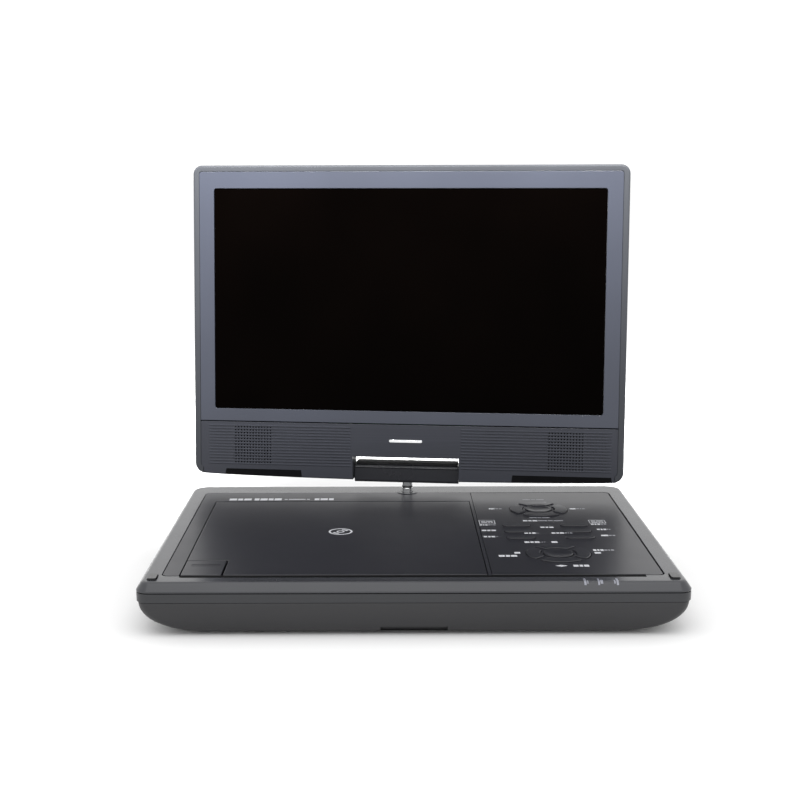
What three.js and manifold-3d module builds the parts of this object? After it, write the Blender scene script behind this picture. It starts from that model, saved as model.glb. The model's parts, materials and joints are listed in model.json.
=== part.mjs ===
// Portable disc player with a swivelling screen: every physical piece is one named mesh.
// Millimetres, +X right, +Y towards the back, +Z up, table at z = 0.
import * as THREE from "three";
import { mergeVertices } from "three/addons/utils/BufferGeometryUtils.js";
import Module from "manifold-3d";

const wasm = await Module();
wasm.setup();

// ---------------------------------------------------------------- driving dimensions
// The base is drawn from its front edge (y = 0) and its top face (z = 0).
const BASE = { width: 254, depth: 197, frontCorner: 6, backCorner: 10, footDrop: 1.3 };
// The bevel's points are [distance in from the outline, height], ending at the crest.
const TRIM = {
  bottom: -4.6,
  bevel: [
    [0, -3.9],
    [1.9, -1.2],
    [2.7, -0.35],
    [3.8, 0],
  ],
  tightening: 0.79,
};
const FINGER_SLOT = { x0: -108, x1: 107.3, front: 9.6, depth: 1.5 };
const BUMPER = { x: 120, y: 10, halfWidth: 2.1, halfLength: 4, bottom: -0.6, top: 0.9 };
const BAND = { top: -4.9, ledgeTop: -5.1, ledgeBottom: -6.9, bottom: -9.2, wall: 2.2 };
const BELLY = { top: -9.5, bottom: -24.2, step: 1.2, side: 26, front: 5, opening: 4, wall: 2 };
const DECK = { x: 116.4, front: 12.6, back: 177.2, corner: 3, gap: 0.3 };
const DOOR = { x0: -108, x1: 34.3, back: 156, axisY: 154.6, axisZ: -1.9, thick: 2.2 };
const TAB = { x1: -88.7, back: 37.8 };
const WELL = { x: -37, y: 84, radius: 62, floor: -8.8, wall: 1.4 };
const PANEL = { x0: 36.6, thick: 2 };
const PAD = { x: 71.5, outer: 15.6, inner: 9, centre: 7.2, rise: 0.5 };
const PAD_Y = { pad_a: 137, pad_b: 48.8 };
const BAR = { halfLength: 7.2, halfWidth: 2.3, y: [102.5, 90.3, 78.1] };
const BAR_X = { left: 56.2, right: 86.4 };
const FOOT = { x: 85, y: [24, 173], radius: 6, edge: 0.6, top: -23.7, pocket: -23.4 };
// Play between parts that fit into each other.
const FIT = 0.3;
// Boxes below are [x0, x1, y0, y1, z0, z1]; flat areas are [x0, x1, y0, y1].
const FRONT_SLOT = [-15, 15.4, 0, 5.1, -22.9, -21.4];
const BOSS = { radius: 2.5, sunk: 0.5 };
const BAY = {
  bottom: -4.7,
  recessFloor: -3.5,
  cupFloor: 1.2,
  hubHole: 14.5,
  lensSlot: { x0: -21, x1: 24.4, halfWidth: 6 },
  latchHole: [-86.5, -79.5, 16.2, 22, -6, -2],
  pivotBore: 1.2,
};
const TAB_STEM = { x: -98, y: 25, radius: 2.5, hole: 3, bottom: -8 };
const DOOR_PIN = { radius: 0.9, length: 9, left: 2.2, right: 1.6 };
const DOOR_RIB = { outer: 60, inner: 58.6, depth: 0.6 };
const DOOR_SEAT = { outer: 12, inner: 9 };
const HOOK = { x0: -85, x1: -81, front: 17, back: 18.4, toe: 19.8, bottom: -6.6, toeTop: -5.8 };

const PICKUP = { railOffset: 16.5, railZ: -13.8, railRadius: 1.5, lensX: -13 };
const GEAR = {
  module: 0.8,
  teeth: 14,
  x: -3.5,
  pitchLine: 107.1,
  z0: -16.6,
  z1: -13.4,
  dedendum: 0.9,
  addendum: 0.7,
  bore: 1.3,
  axle: 1,
  axleTop: -12.9,
};
const RAIL = {
  x0: -34.5,
  x1: 36.5,
  blocks: [
    [-35, -31],
    [33, 37],
  ],
  halfWidth: 2.5,
  blockTop: -11.4,
};
const SLED = { body: [-22, -4, 64, 104.2, -16.9, -10.7], head: 4, headY: 4.4, headTop: -9.2 };
const RACK = { x0: -38, x1: -1, back: 104, bottom: -16.4, top: -13.6 };
const FEED_MOTOR = { y: 125, z: -14, can: 3.2, shaft: 0.8, worm: 1.6 };
const CHASSIS = {
  top: -17.6,
  thick: 1,
  outline: [-94, 38.5, 54, 130],
  opening: [-84, -56, 66, 102],
  corner: 4,
  screwHole: 1.5,
  screws: [
    [-88, 60],
    [-88, 124],
    [32, 60],
    [32, 124],
  ],
};
const BOARD = {
  outline: [42, 105, 26, 164],
  bottom: -17,
  top: -15.4,
  screws: [
    [47, 34],
    [100, 34],
    [47, 156],
    [100, 156],
  ],
};
const KEY_BOARD = { plate: [39, 112.4, 17.5, 171, -8.6, -7.3], dome: 2.1, domeTop: -6.3 };
const BATTERY = {
  outline: [-106, -18, 150, 187],
  corner: 3,
  bottom: -21.2,
  top: -7.5,
  groove: [-120, 0, 168, 169, -8.3, -7],
  plug: [-18.5, -13.5, 154, 162, -14, -9],
};
// Side controls and sockets: [y, radius] of each round socket, all on one level.
const PORT_Z = -13.8;
const JACK_BODY = { inner: 106.5, outer: 117.5, halfWidth: 4.4, bottom: -17.6, top: -10 };
const MOUTH_X = 123.4;
const PLUG_BORE = { round: 1.8, dc: 2.6, dcPin: 1 };
const JACKS = [
  [70, 3],
  [84, 3],
  [100, 3.4],
];
const WHEEL = {
  x: 118.6,
  y: 50,
  radius: 7.2,
  notches: 36,
  notchDepth: 0.35,
  halfThick: 1.3,
  bore: 1.7,
  pin: 1.4,
  boss: 2,
  bottom: -18,
  bossTop: -15.5,
  pinTop: -12,
};
const SWITCH = { y: 120.5, travel: 4, slotReach: 2.6, knob: 2.2, carriage: 5 };
// Left side: openings in the wall, as [y0, y1, z0, z1]; the socket's frame stays clear of them.
const WIDE_SOCKET = [60.2, 75.3, -16.6, -10.6];
const CARD_SLOT = [77.6, 91.4, -15.4, -12.2];
const PORT_BODY = [-117.6, -102.5, 58, 93, -17.2, -10.3];
const TONGUE = [-122.6, -107, 62.4, 73.1, -12.6, -11.3];
const LIGHTS_X = [78.4, 85, 92.4];
const LIGHT = { halfWidth: 1, back: 7.2, turn: 5.3, bottom: -1.7 };

// The hinge block stands on the swivel post; the screen tilts about the block's middle.
const HINGE = { y: 178.5, axisZ: 11.9, length: 60, depth: 10.8, height: 10.4 };
const POST = { radius: 3.05, boreRadius: 3.4, collar: 5.5 };

// The screen housing is drawn flat, its tilt axis on the X axis and its face towards +Z.
const LID = { halfWidth: 123, top: 175.1, bottom: -3.6, bow: 1.8, front: 10.7, back: -4.3 };
const LIP = { width: 3.5, wall: 1.5, gap: 0.3 };
const SEAM_V = 29.1;
const WINDOW = { halfWidth: 111, bottom: 36.3, top: 162.2 };
const NOTCH = { halfWidth: 30.4, top: 9.8, wall: 2.2 };
const GRILLE = { inner: 78, outer: 100.5, slots: 7, pitch: 3.4, first: 5.7, height: 0.8 };
const RIB = { count: 14, first: 4.4, pitch: 1.7, width: 0.9, rise: 0.35, inner: 31, outer: 114.5 };
const LCD_FRAME = [-115, 115, 32.6, 166.4, 3.6, 8];
const LCD_TAPE = [-100, 100, 40, 46, 3.2, 4];
const SCREEN_BOARD = [-46, 46, 14.4, 28.6, 2, 3.4];
const SCREEN_CHIPS = [
  [-10, 10, 17, 24, 3.2, 4.8],
  [20, 34, 16, 21, 3.2, 5.6],
  [-38, -24, 18, 26, 3.2, 6.4],
];
const SPEAKER = { x: 89.5, y: 16, halfWidth: 14, halfHeight: 12, magnet: 8, cone: 9.5 };
const SHAFT = { inner: 14.5, outer: 38, radius: 1.7, bore: 2, boreStart: 13.5 };
const LEAF = { inner: 33.4, outer: 47, holeX: 43, holeY: 9.5, hole: 1.6 };

// How the screen stands: turned a little about the post and leaning back a little.
const SWIVEL = THREE.MathUtils.degToRad(-7.26);
const LEAN = THREE.MathUtils.degToRad(3.9);

// Half of the whole outline's depth, so that the origin is under its middle.
const MIDDLE_Y = 104.7;
const TABLE_Z = BELLY.bottom - BASE.footDrop;

// ---------------------------------------------------------------- solids
function toSolid(geometry) {
  const bare = geometry.clone();
  bare.deleteAttribute("normal");
  bare.deleteAttribute("uv");
  const merged = mergeVertices(bare, 1e-4);
  return new wasm.Manifold(
    new wasm.Mesh({
      numProp: 3,
      vertProperties: merged.attributes.position.array,
      triVerts: new Uint32Array(merged.index.array),
    }),
  );
}

function toGeometry(solid) {
  const mesh = solid.getMesh();
  const geometry = new THREE.BufferGeometry();
  const position = new THREE.BufferAttribute(mesh.vertProperties, 3);
  geometry.setAttribute("position", position);
  geometry.setIndex(new THREE.BufferAttribute(mesh.triVerts, 1));
  const flat = geometry.toNonIndexed();
  flat.computeVertexNormals();
  return flat;
}

function join(...geometries) {
  const solids = geometries.flat().map(toSolid);
  return toGeometry(solids.reduce((whole, piece) => whole.add(piece)));
}

function carve(geometry, ...tools) {
  const solids = tools.flat().map(toSolid);
  return toGeometry(solids.reduce((whole, tool) => whole.subtract(tool), toSolid(geometry)));
}

// ---------------------------------------------------------------- basic shapes
function cuboid(x0, x1, y0, y1, z0, z1) {
  const box = new THREE.BoxGeometry(x1 - x0, y1 - y0, z1 - z0);
  return box.translate((x0 + x1) / 2, (y0 + y1) / 2, (z0 + z1) / 2);
}

function rodZ(x, y, radius, z0, z1, sides = 24) {
  const rod = new THREE.CylinderGeometry(radius, radius, z1 - z0, sides);
  return rod.rotateX(Math.PI / 2).translate(x, y, (z0 + z1) / 2);
}

function rodX(x0, x1, y, z, radius, sides = 16) {
  const rod = new THREE.CylinderGeometry(radius, radius, x1 - x0, sides);
  return rod.rotateZ(Math.PI / 2).translate((x0 + x1) / 2, y, z);
}

// A solid of revolution about Z from (radius, height) pairs that start and end on the axis.
function turned(pairs, sides = 32) {
  const profile = pairs.map(([radius, z]) => new THREE.Vector2(radius, z));
  return new THREE.LatheGeometry(profile, sides).rotateX(Math.PI / 2);
}

// A flat outline of [x, y] points raised from z0 to z1.
function slab(points, z0, z1, holes = []) {
  const shape = new THREE.Shape(points.map(([x, y]) => new THREE.Vector2(x, y)));
  for (const hole of holes) {
    shape.holes.push(new THREE.Path(hole.map(([x, y]) => new THREE.Vector2(x, y))));
  }
  const options = { depth: z1 - z0, bevelEnabled: false, curveSegments: 1 };
  return new THREE.ExtrudeGeometry(shape, options).translate(0, 0, z0);
}

// A side profile of [y, z] points carried along X.
function prismX(points, x0, x1) {
  const turn = new THREE.Matrix4().set(0, 0, 1, 0, 1, 0, 0, 0, 0, 1, 0, 0, 0, 0, 0, 1);
  return slab(points, x0, x1).applyMatrix4(turn);
}

// Corner radii run anticlockwise from the corner at (x1, y0).
function roundedRect(x0, x1, y0, y1, radii, steps = 5) {
  const [a, b, c, d] = Array.isArray(radii) ? radii : [radii, radii, radii, radii];
  const corners = [
    [x1 - a, y0 + a, a, -90],
    [x1 - b, y1 - b, b, 0],
    [x0 + c, y1 - c, c, 90],
    [x0 + d, y0 + d, d, 180],
  ];
  const points = [];
  for (const [cx, cy, radius, start] of corners) {
    for (let i = 0; i <= steps; i++) {
      const angle = THREE.MathUtils.degToRad(start + (90 * i) / steps);
      points.push([cx + radius * Math.cos(angle), cy + radius * Math.sin(angle)]);
    }
  }
  return points;
}

function circle(x, y, radius, sides = 24) {
  const points = [];
  for (let i = 0; i < sides; i++) {
    const angle = (2 * Math.PI * i) / sides;
    points.push([x + radius * Math.cos(angle), y + radius * Math.sin(angle)]);
  }
  return points;
}

// Skins a stack of matching rings; each is { points, z }, anticlockwise seen from above.
// An open stack is capped at both ends, a closed one runs round to its first ring.
function loft(rings, closed = false) {
  const count = rings[0].points.length;
  const positions = [];
  const index = [];
  for (const { points, z } of rings) {
    for (const [x, y] of points) positions.push(x, y, z);
  }
  const spans = closed ? rings.length : rings.length - 1;
  for (let i = 0; i < spans; i++) {
    const low = i * count;
    const high = ((i + 1) % rings.length) * count;
    for (let j = 0; j < count; j++) {
      const next = (j + 1) % count;
      index.push(low + j, low + next, high + next);
      index.push(low + j, high + next, high + j);
    }
  }
  if (!closed) {
    addCap(positions, index, rings[0], 0, true);
    addCap(positions, index, rings.at(-1), (rings.length - 1) * count, false);
  }
  const geometry = new THREE.BufferGeometry();
  geometry.setAttribute("position", new THREE.Float32BufferAttribute(positions, 3));
  geometry.setIndex(index);
  return geometry;
}

function addCap(positions, index, ring, start, down) {
  const outline = ring.points.map(([x, y]) => new THREE.Vector2(x, y));
  for (const [a, b, c] of THREE.ShapeUtils.triangulateShape(outline, [])) {
    if (down) index.push(start + a, start + c, start + b);
    else index.push(start + a, start + b, start + c);
  }
}

// ---------------------------------------------------------------- casing of the base
// Outline moved in from the sides and from the front and back, with its corners tightened.
function baseRing(side, front, tighter, z) {
  const half = BASE.width / 2 - side;
  const near = BASE.frontCorner - tighter;
  const far = BASE.backCorner - tighter;
  return { points: roundedRect(-half, half, front, BASE.depth - front, [near, far, far, near]), z };
}

function deckRing(grow, radius, z) {
  const { x, front, back } = DECK;
  return { points: roundedRect(-x - grow, x + grow, front - grow, back + grow, radius), z };
}

// Bevelled frame round the deck, with a hole for the post's collar and a slot for the fingers.
function topTrim() {
  const frame = loft(
    [
      baseRing(0, 0, 0, TRIM.bottom),
      ...TRIM.bevel.map(([inset, z]) => baseRing(inset, inset, inset * TRIM.tightening, z)),
      deckRing(0, DECK.corner, 0),
      deckRing(0, DECK.corner, TRIM.bottom),
    ],
    true,
  );
  const collar = rodZ(0, HINGE.y, POST.collar + 0.4, -6, 1);
  const half = LIGHT.halfWidth + FIT;
  const channels = LIGHTS_X.flatMap((x) => [
    cuboid(x - half, x + half, -1, LIGHT.back + FIT, LIGHT.bottom - FIT, 1),
    cuboid(x - half, x + half, LIGHT.turn - FIT, 13.5, -3.5, LIGHT.bottom - 0.2),
  ]);
  const pockets = [-1, 1].map((side) => bumperShape(side, FIT, BUMPER.bottom - FIT, 1));
  const { x0, x1, front, depth } = FINGER_SLOT;
  const slot = cuboid(x0, x1, front, DECK.front + 1, -depth, 1);
  return carve(frame, collar, channels, pockets, slot);
}

// Vertical band under the trim, with a ledge inside that carries the deck.
function upperCase() {
  const ring = loft(
    [
      baseRing(0.2, 0.2, 0, BAND.bottom),
      baseRing(0, 0, 0, BAND.top),
      deckRing(-3.4, 3, BAND.ledgeTop),
      deckRing(-3.4, 3, BAND.ledgeBottom),
      baseRing(BAND.wall, BAND.wall, 2, BAND.ledgeBottom),
      baseRing(BAND.wall, BAND.wall, 2, BAND.bottom),
    ],
    true,
  );
  return carve(ring, rodZ(0, HINGE.y, 12.6, -8, -4));
}

// One ring of the belly; turn runs from 0 at the top edge to 1 at the flat bottom.
function bellyRing(turn, thickness) {
  const angle = (turn * Math.PI) / 2;
  const inward = 1 - Math.cos(angle);
  const side = BELLY.step + thickness + (BELLY.side - thickness / 2) * inward;
  const front = BELLY.step + thickness + (BELLY.front - thickness / 2) * inward;
  const drop = BELLY.top - BELLY.bottom - thickness;
  const tighter = BELLY.step + thickness - BELLY.opening * inward;
  return baseRing(side, front, tighter, BELLY.top - drop * Math.sin(angle));
}

// Tub with rounded flanks, standing bosses and the openings for the controls and sockets.
function lowerCase() {
  const turns = [1, 0.86, 0.7, 0.54, 0.38, 0.2, 0];
  const outside = turns.map((turn) => bellyRing(turn, 0));
  const inside = [...turns].reverse().map((turn) => bellyRing(turn, BELLY.wall));
  const floor = BELLY.bottom + BELLY.wall;
  const posts = [
    ...CHASSIS.screws.map(([x, y]) => [x, y, CHASSIS.top - CHASSIS.thick - FIT]),
    ...BOARD.screws.map(([x, y]) => [x, y, BOARD.bottom - FIT]),
  ].map(([x, y, top]) => rodZ(x, y, BOSS.radius, floor - BOSS.sunk, top, 12));
  const wheelPin = rodZ(WHEEL.x, WHEEL.y, WHEEL.pin, WHEEL.bottom, WHEEL.pinTop, 12);
  const wheelBoss = rodZ(WHEEL.x, WHEEL.y, WHEEL.boss, WHEEL.bottom, WHEEL.bossTop, 12);
  const tub = join(loft([...outside, ...inside]), posts, wheelPin, wheelBoss);
  const jackHoles = JACKS.map(([y, radius]) => rodX(118, 128, y, PORT_Z, radius + FIT, 20));
  const feet = FOOT.y.flatMap((y) =>
    [-1, 1].map((side) =>
      rodZ(side * FOOT.x, y, FOOT.radius + FIT, BELLY.bottom - 1, FOOT.pocket),
    ),
  );
  const slotStart = SWITCH.y - SWITCH.slotReach;
  const slotEnd = SWITCH.y + SWITCH.slotReach + SWITCH.travel;
  const switchSlot = cuboid(120, 128, slotStart, slotEnd, PORT_Z - 1.5, PORT_Z + 1.5);
  const wheelSlot = cuboid(120, 128, WHEEL.y - 6.9, WHEEL.y + 6.9, PORT_Z - 1.7, PORT_Z + 1.7);
  const sideHoles = [WIDE_SOCKET, CARD_SLOT].map((hole) => cuboid(-128, -119, ...hole));
  return carve(tub, jackHoles, feet, cuboid(...FRONT_SLOT), switchSlot, wheelSlot, sideHoles);
}

function foot(side, y) {
  const profile = [
    [0, TABLE_Z],
    [FOOT.radius - FOOT.edge, TABLE_Z],
    [FOOT.radius, TABLE_Z + FOOT.edge],
    [FOOT.radius, FOOT.top],
    [0, FOOT.top],
  ];
  return turned(profile, 18).translate(side * FOOT.x, y, 0);
}

// Low rubber stop at a front corner of the trim, on which the closed screen comes down.
function bumperShape(side, grow, z0, z1) {
  const x = BUMPER.halfWidth + grow;
  const y = BUMPER.halfLength + grow;
  return slab(roundedRect(-x, x, -y, y, 1 + grow, 3), z0, z1).translate(side * BUMPER.x, BUMPER.y, 0);
}

// ---------------------------------------------------------------- deck and disc door
// Left deck with the recess under the door and the round disc well.
function discBay() {
  const { gap, x, front, back, corner } = DECK;
  const right = PANEL.x0 - gap;
  const edge = [0, 0, corner - gap, corner - gap];
  const outline = roundedRect(-x + gap, right, front + gap, back - gap, edge);
  const recess = roundedRect(DOOR.x0 - 0.4, right - 1.6, front - 2, DOOR.back + 0.8, 0.4, 2);
  const plate = carve(slab(outline, BAY.bottom, 0), slab(recess, BAY.recessFloor, 1));
  const well = rodZ(WELL.x, WELL.y, WELL.radius, WELL.floor, 1, 72);
  const cupRadius = WELL.radius + WELL.wall;
  const cup = rodZ(WELL.x, WELL.y, cupRadius, WELL.floor - BAY.cupFloor, -3.6, 72);
  const hubHole = rodZ(WELL.x, WELL.y, BAY.hubHole, -12, 0, 36);
  const { x0, x1, halfWidth } = BAY.lensSlot;
  const lensSlot = cuboid(x0, x1, WELL.y - halfWidth, WELL.y + halfWidth, -12, -6);
  const latchHole = cuboid(...BAY.latchHole);
  const tabHole = rodZ(TAB_STEM.x, TAB_STEM.y, TAB_STEM.hole, -6, -2);
  const collar = rodZ(0, HINGE.y, POST.collar + 0.4, -6, 1);
  const pivots = rodX(DOOR.x0 - 2.8, right + 1, DOOR.axisY, DOOR.axisZ, BAY.pivotBore, 12);
  return carve(join(plate, cup), well, hubHole, lensSlot, latchHole, tabHole, collar, pivots);
}

// Lid over the disc well, hinged at the back, with a latch hook at the front.
function discDoor() {
  const { x0, x1, back, axisY, axisZ, thick } = DOOR;
  const front = DECK.front + 0.3;
  const profile = [
    [front, -thick],
    [back, -thick],
    [back, -1],
    [back - 1, 0],
    [front, 0],
  ];
  const leaf = carve(
    prismX(profile, x0, x1),
    cuboid(x0 - 1, TAB.x1 + 0.4, front - 1, TAB.back + 0.4, -thick - 1, 1),
  );
  const pin = [
    rodX(x0 - DOOR_PIN.left, x0 + DOOR_PIN.length, axisY, axisZ, DOOR_PIN.radius, 12),
    rodX(x1 - DOOR_PIN.length, x1 + DOOR_PIN.right, axisY, axisZ, DOOR_PIN.radius, 12),
  ];
  const stiffener = carve(
    rodZ(WELL.x, WELL.y, DOOR_RIB.outer, -thick - DOOR_RIB.depth, -thick + 0.5, 60),
    rodZ(WELL.x, WELL.y, DOOR_RIB.inner, -thick - 2, 1, 60),
    cuboid(x0 - 1, TAB.x1 + 0.4, front - 1, TAB.back + 0.4, -thick - 2, 1),
  );
  const seat = carve(
    rodZ(WELL.x, WELL.y, DOOR_SEAT.outer, -thick - DOOR_RIB.depth, -thick + 0.5, 36),
    rodZ(WELL.x, WELL.y, DOOR_SEAT.inner, -thick - 2, -thick, 36),
  );
  const hook = [
    cuboid(HOOK.x0, HOOK.x1, HOOK.front, HOOK.back, HOOK.bottom, -thick + 0.2),
    cuboid(HOOK.x0, HOOK.x1, HOOK.front, HOOK.toe, HOOK.bottom, HOOK.toeTop),
  ];
  return join(leaf, pin, stiffener, seat, hook);
}

// Press tab that frees the door; its stem reaches the latch under the deck.
function openButton() {
  const outline = roundedRect(DOOR.x0 + 0.1, TAB.x1, DECK.front + 0.4, TAB.back, 1, 3);
  const stem = rodZ(TAB_STEM.x, TAB_STEM.y, TAB_STEM.radius, TAB_STEM.bottom, -1.5);
  return join(slab(outline, -1.9, 0), stem);
}

// ---------------------------------------------------------------- disc mechanism
function mechChassis() {
  const outline = roundedRect(...CHASSIS.outline, CHASSIS.corner, 3);
  const bottom = CHASSIS.top - CHASSIS.thick;
  const sheet = slab(outline, bottom, CHASSIS.top, [
    ...CHASSIS.screws.map(([x, y]) => circle(x, y, CHASSIS.screwHole, 12)),
    roundedRect(...CHASSIS.opening, CHASSIS.corner, 3),
  ]);
  const blocks = [];
  for (const side of [-1, 1]) {
    const y = WELL.y + side * PICKUP.railOffset;
    const [y0, y1] = [y - RAIL.halfWidth, y + RAIL.halfWidth];
    for (const [x0, x1] of RAIL.blocks) {
      blocks.push(cuboid(x0, x1, y0, y1, CHASSIS.top - 0.2, RAIL.blockTop));
    }
  }
  const axle = rodZ(GEAR.x, gearY(), GEAR.axle, CHASSIS.top - 0.2, GEAR.axleTop, 12);
  const rails = [-1, 1].map((side) =>
    rodX(-40, 40, WELL.y + side * PICKUP.railOffset, PICKUP.railZ, PICKUP.railRadius + FIT, 12),
  );
  return carve(join(sheet, blocks, axle), rails);
}

function guideRail(side) {
  const y = WELL.y + side * PICKUP.railOffset;
  return rodX(RAIL.x0, RAIL.x1, y, PICKUP.railZ, PICKUP.railRadius, 12);
}

function spindleMotor() {
  const profile = [
    [0, -17.3],
    [13.2, -17.3],
    [13.2, -11.7],
    [12.7, -11.2],
    [1.3, -11.2],
    [1.3, -16.8],
    [0, -16.8],
  ];
  return turned(profile, 36).translate(WELL.x, WELL.y, 0);
}

// Turntable with its shaft and the three balls that grip the disc's centre hole.
function spindleHub() {
  const profile = [
    [0, -16.2],
    [1, -16.2],
    [1, -10.3],
    [6, -10.3],
    [13, -9.6],
    [13, -8.1],
    [7.4, -8.1],
    [7.4, -4.5],
    [6.5, -3.8],
    [0, -3.8],
  ];
  const balls = [90, 210, 330].map((degrees) => {
    const angle = THREE.MathUtils.degToRad(degrees);
    const ball = new THREE.SphereGeometry(0.9, 8, 6);
    return ball.translate(7 * Math.cos(angle), 7 * Math.sin(angle), -6);
  });
  return join(turned(profile, 30), balls).translate(WELL.x, WELL.y, 0);
}

function gearY() {
  return GEAR.pitchLine + (GEAR.module * GEAR.teeth) / 2;
}

// Straight rack: one outline whose teeth point towards +Y, phased to the gear's axis.
function rackOutline(x0, x1, y0) {
  const pitch = Math.PI * GEAR.module;
  const root = GEAR.pitchLine - GEAR.dedendum;
  const tip = GEAR.pitchLine + GEAR.addendum;
  const points = [
    [x0, y0],
    [x1, y0],
    [x1, root],
  ];
  const first = Math.floor((x1 - GEAR.x - pitch / 2 - 0.9) / pitch);
  for (let k = first; GEAR.x + pitch / 2 + k * pitch > x0 + 0.9; k--) {
    const x = GEAR.x + pitch / 2 + k * pitch;
    points.push([x + 0.8, root], [x + 0.25, tip], [x - 0.25, tip], [x - 0.8, root]);
  }
  points.push([x0, root]);
  return points;
}

// Laser carriage: it rides both rails and carries the rack behind it.
function pickupSled() {
  const body = cuboid(...SLED.body);
  const { head: reach, headY, headTop } = SLED;
  const { lensX } = PICKUP;
  const head = cuboid(lensX - reach, lensX + reach, WELL.y - headY, WELL.y + headY, -11, headTop);
  const lens = rodZ(lensX, WELL.y, 2.6, -9.4, -8.9, 20);
  const rack = slab(rackOutline(RACK.x0, RACK.x1, RACK.back), RACK.bottom, RACK.top);
  const rails = [-1, 1].map((side) =>
    rodX(-24, 0, WELL.y + side * PICKUP.railOffset, PICKUP.railZ, PICKUP.railRadius + FIT, 12),
  );
  return carve(join(body, head, lens, rack), rails);
}

// Pinion with one tooth centred on the rack gap below its axis.
function feedPinion() {
  const pitchRadius = (GEAR.module * GEAR.teeth) / 2;
  const root = pitchRadius - GEAR.dedendum;
  const tip = pitchRadius + GEAR.addendum;
  const points = [];
  for (let k = 0; k < GEAR.teeth; k++) {
    const middle = -Math.PI / 2 + (2 * Math.PI * k) / GEAR.teeth;
    for (const [radius, half] of [
      [root, -0.75 / root],
      [pitchRadius, -0.48 / pitchRadius],
      [tip, -0.24 / tip],
      [tip, 0.24 / tip],
      [pitchRadius, 0.48 / pitchRadius],
      [root, 0.75 / root],
    ]) {
      points.push([radius * Math.cos(middle + half), radius * Math.sin(middle + half)]);
    }
  }
  const gear = slab(points, GEAR.z0, GEAR.z1, [circle(0, 0, GEAR.bore, 16)]);
  return gear.translate(GEAR.x, gearY(), 0);
}

function feedMotor() {
  const { y, z, can, shaft, worm } = FEED_MOTOR;
  return join(
    rodX(-34, -14, y, z, can, 20),
    rodX(-14.5, -5, y, z, shaft, 10),
    rodX(-12.5, -6.5, y, z, worm, 12),
  );
}

// ---------------------------------------------------------------- electronics in the base
function mainBoard() {
  const board = cuboid(...BOARD.outline, BOARD.bottom, BOARD.top);
  const foot = BOARD.top - 0.2;
  const chips = [
    [62, 80, 84, 102, 1.4],
    [62, 74, 110, 118, 1.2],
    [86, 98, 60, 68, 1.8],
    [46, 54, 70, 96, 3],
    [84, 92, 124, 132, 2.6],
    [58, 96, 154, 160, 2.8],
  ].map(([x0, x1, y0, y1, height]) => cuboid(x0, x1, y0, y1, foot, BOARD.top + height));
  const capacitors = [56, 64].map((x) => rodZ(x, 132, 3, foot, BOARD.top + 4.6, 16));
  return join(board, chips, capacitors);
}

// Circuit board under the control panel with one contact dome per key.
function keyBoard() {
  const { plate, dome, domeTop } = KEY_BOARD;
  const domes = keyList().map(({ stem: [x, y] }) => rodZ(x, y, dome, -7.5, domeTop, 10));
  return join(cuboid(...plate), domes);
}

function batteryPack() {
  const { outline, corner, bottom, top, groove, plug } = BATTERY;
  const pack = slab(roundedRect(...outline, corner, 3), bottom, top);
  return join(carve(pack, cuboid(...groove)), cuboid(...plug));
}

// ---------------------------------------------------------------- sockets and side controls
function roundJack(y, radius, bore) {
  const { inner, outer, halfWidth, bottom, top } = JACK_BODY;
  const body = cuboid(inner, outer, y - halfWidth, y + halfWidth, bottom, top);
  const barrel = rodX(outer - 0.5, MOUTH_X, y, PORT_Z, radius, 20);
  return carve(join(body, barrel), rodX(108.5, 125, y, PORT_Z, bore, 16));
}

function dcJack() {
  const [y, radius] = JACKS[2];
  return join(roundJack(y, radius, PLUG_BORE.dc), rodX(108, 122.6, y, PORT_Z, PLUG_BORE.dcPin, 12));
}

// Side block with a wide socket, its tongue, and a card slot.
function portBlock() {
  const inside = ([y0, y1, z0, z1], wall) => [y0 + wall, y1 - wall, z0 + wall, z1 - wall];
  const frames = [WIDE_SOCKET, CARD_SLOT].map((hole) =>
    cuboid(-MOUTH_X, -117, ...inside(hole, 0.4)),
  );
  const bores = [WIDE_SOCKET, CARD_SLOT].map((hole) => cuboid(-125, -107, ...inside(hole, 1)));
  return join(carve(join(cuboid(...PORT_BODY), frames), bores), cuboid(...TONGUE));
}

function powerSwitch() {
  const { y, knob: half, carriage: reach } = SWITCH;
  const carriage = cuboid(114, 119.2, y - reach, y + reach, PORT_Z - 2.2, PORT_Z + 2.4);
  const knob = cuboid(119, 125.6, y - half, y + half, PORT_Z - 1.1, PORT_Z + 1.1);
  const notches = [y - 0.9, y + 0.4].map((start) =>
    cuboid(125.1, 126, start, start + 0.5, -16, -12),
  );
  return carve(join(carriage, knob), notches);
}

// Thumbwheel with a knurled rim, turning on the pin of the lower case.
function volumeWheel() {
  const points = [];
  for (let k = 0; k < WHEEL.notches * 2; k++) {
    const angle = (Math.PI * k) / WHEEL.notches;
    const radius = WHEEL.radius - (k % 2 ? WHEEL.notchDepth : 0);
    points.push([WHEEL.x + radius * Math.cos(angle), WHEEL.y + radius * Math.sin(angle)]);
  }
  const bore = circle(WHEEL.x, WHEEL.y, WHEEL.bore, 16);
  return slab(points, PORT_Z - WHEEL.halfThick, PORT_Z + WHEEL.halfThick, [bore]);
}

// Moulded light guide: three windows over the crest, joined by a bar behind it.
function lightGuide() {
  const profile = [
    [1.75, LIGHT.bottom],
    ...TRIM.bevel.slice(1),
    [LIGHT.back, 0],
    [LIGHT.back, -2.3],
    [14, -2.3],
    [14, -3.2],
    [LIGHT.turn, -3.2],
    [LIGHT.turn, LIGHT.bottom],
  ].reverse();
  const heads = LIGHTS_X.map((x) => prismX(profile, x - LIGHT.halfWidth, x + LIGHT.halfWidth));
  const left = LIGHTS_X[0] - LIGHT.halfWidth;
  const right = LIGHTS_X.at(-1) + LIGHT.halfWidth;
  return join(heads, cuboid(left, right, 13.2, 15.6, -4.4, -2.6));
}

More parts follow.
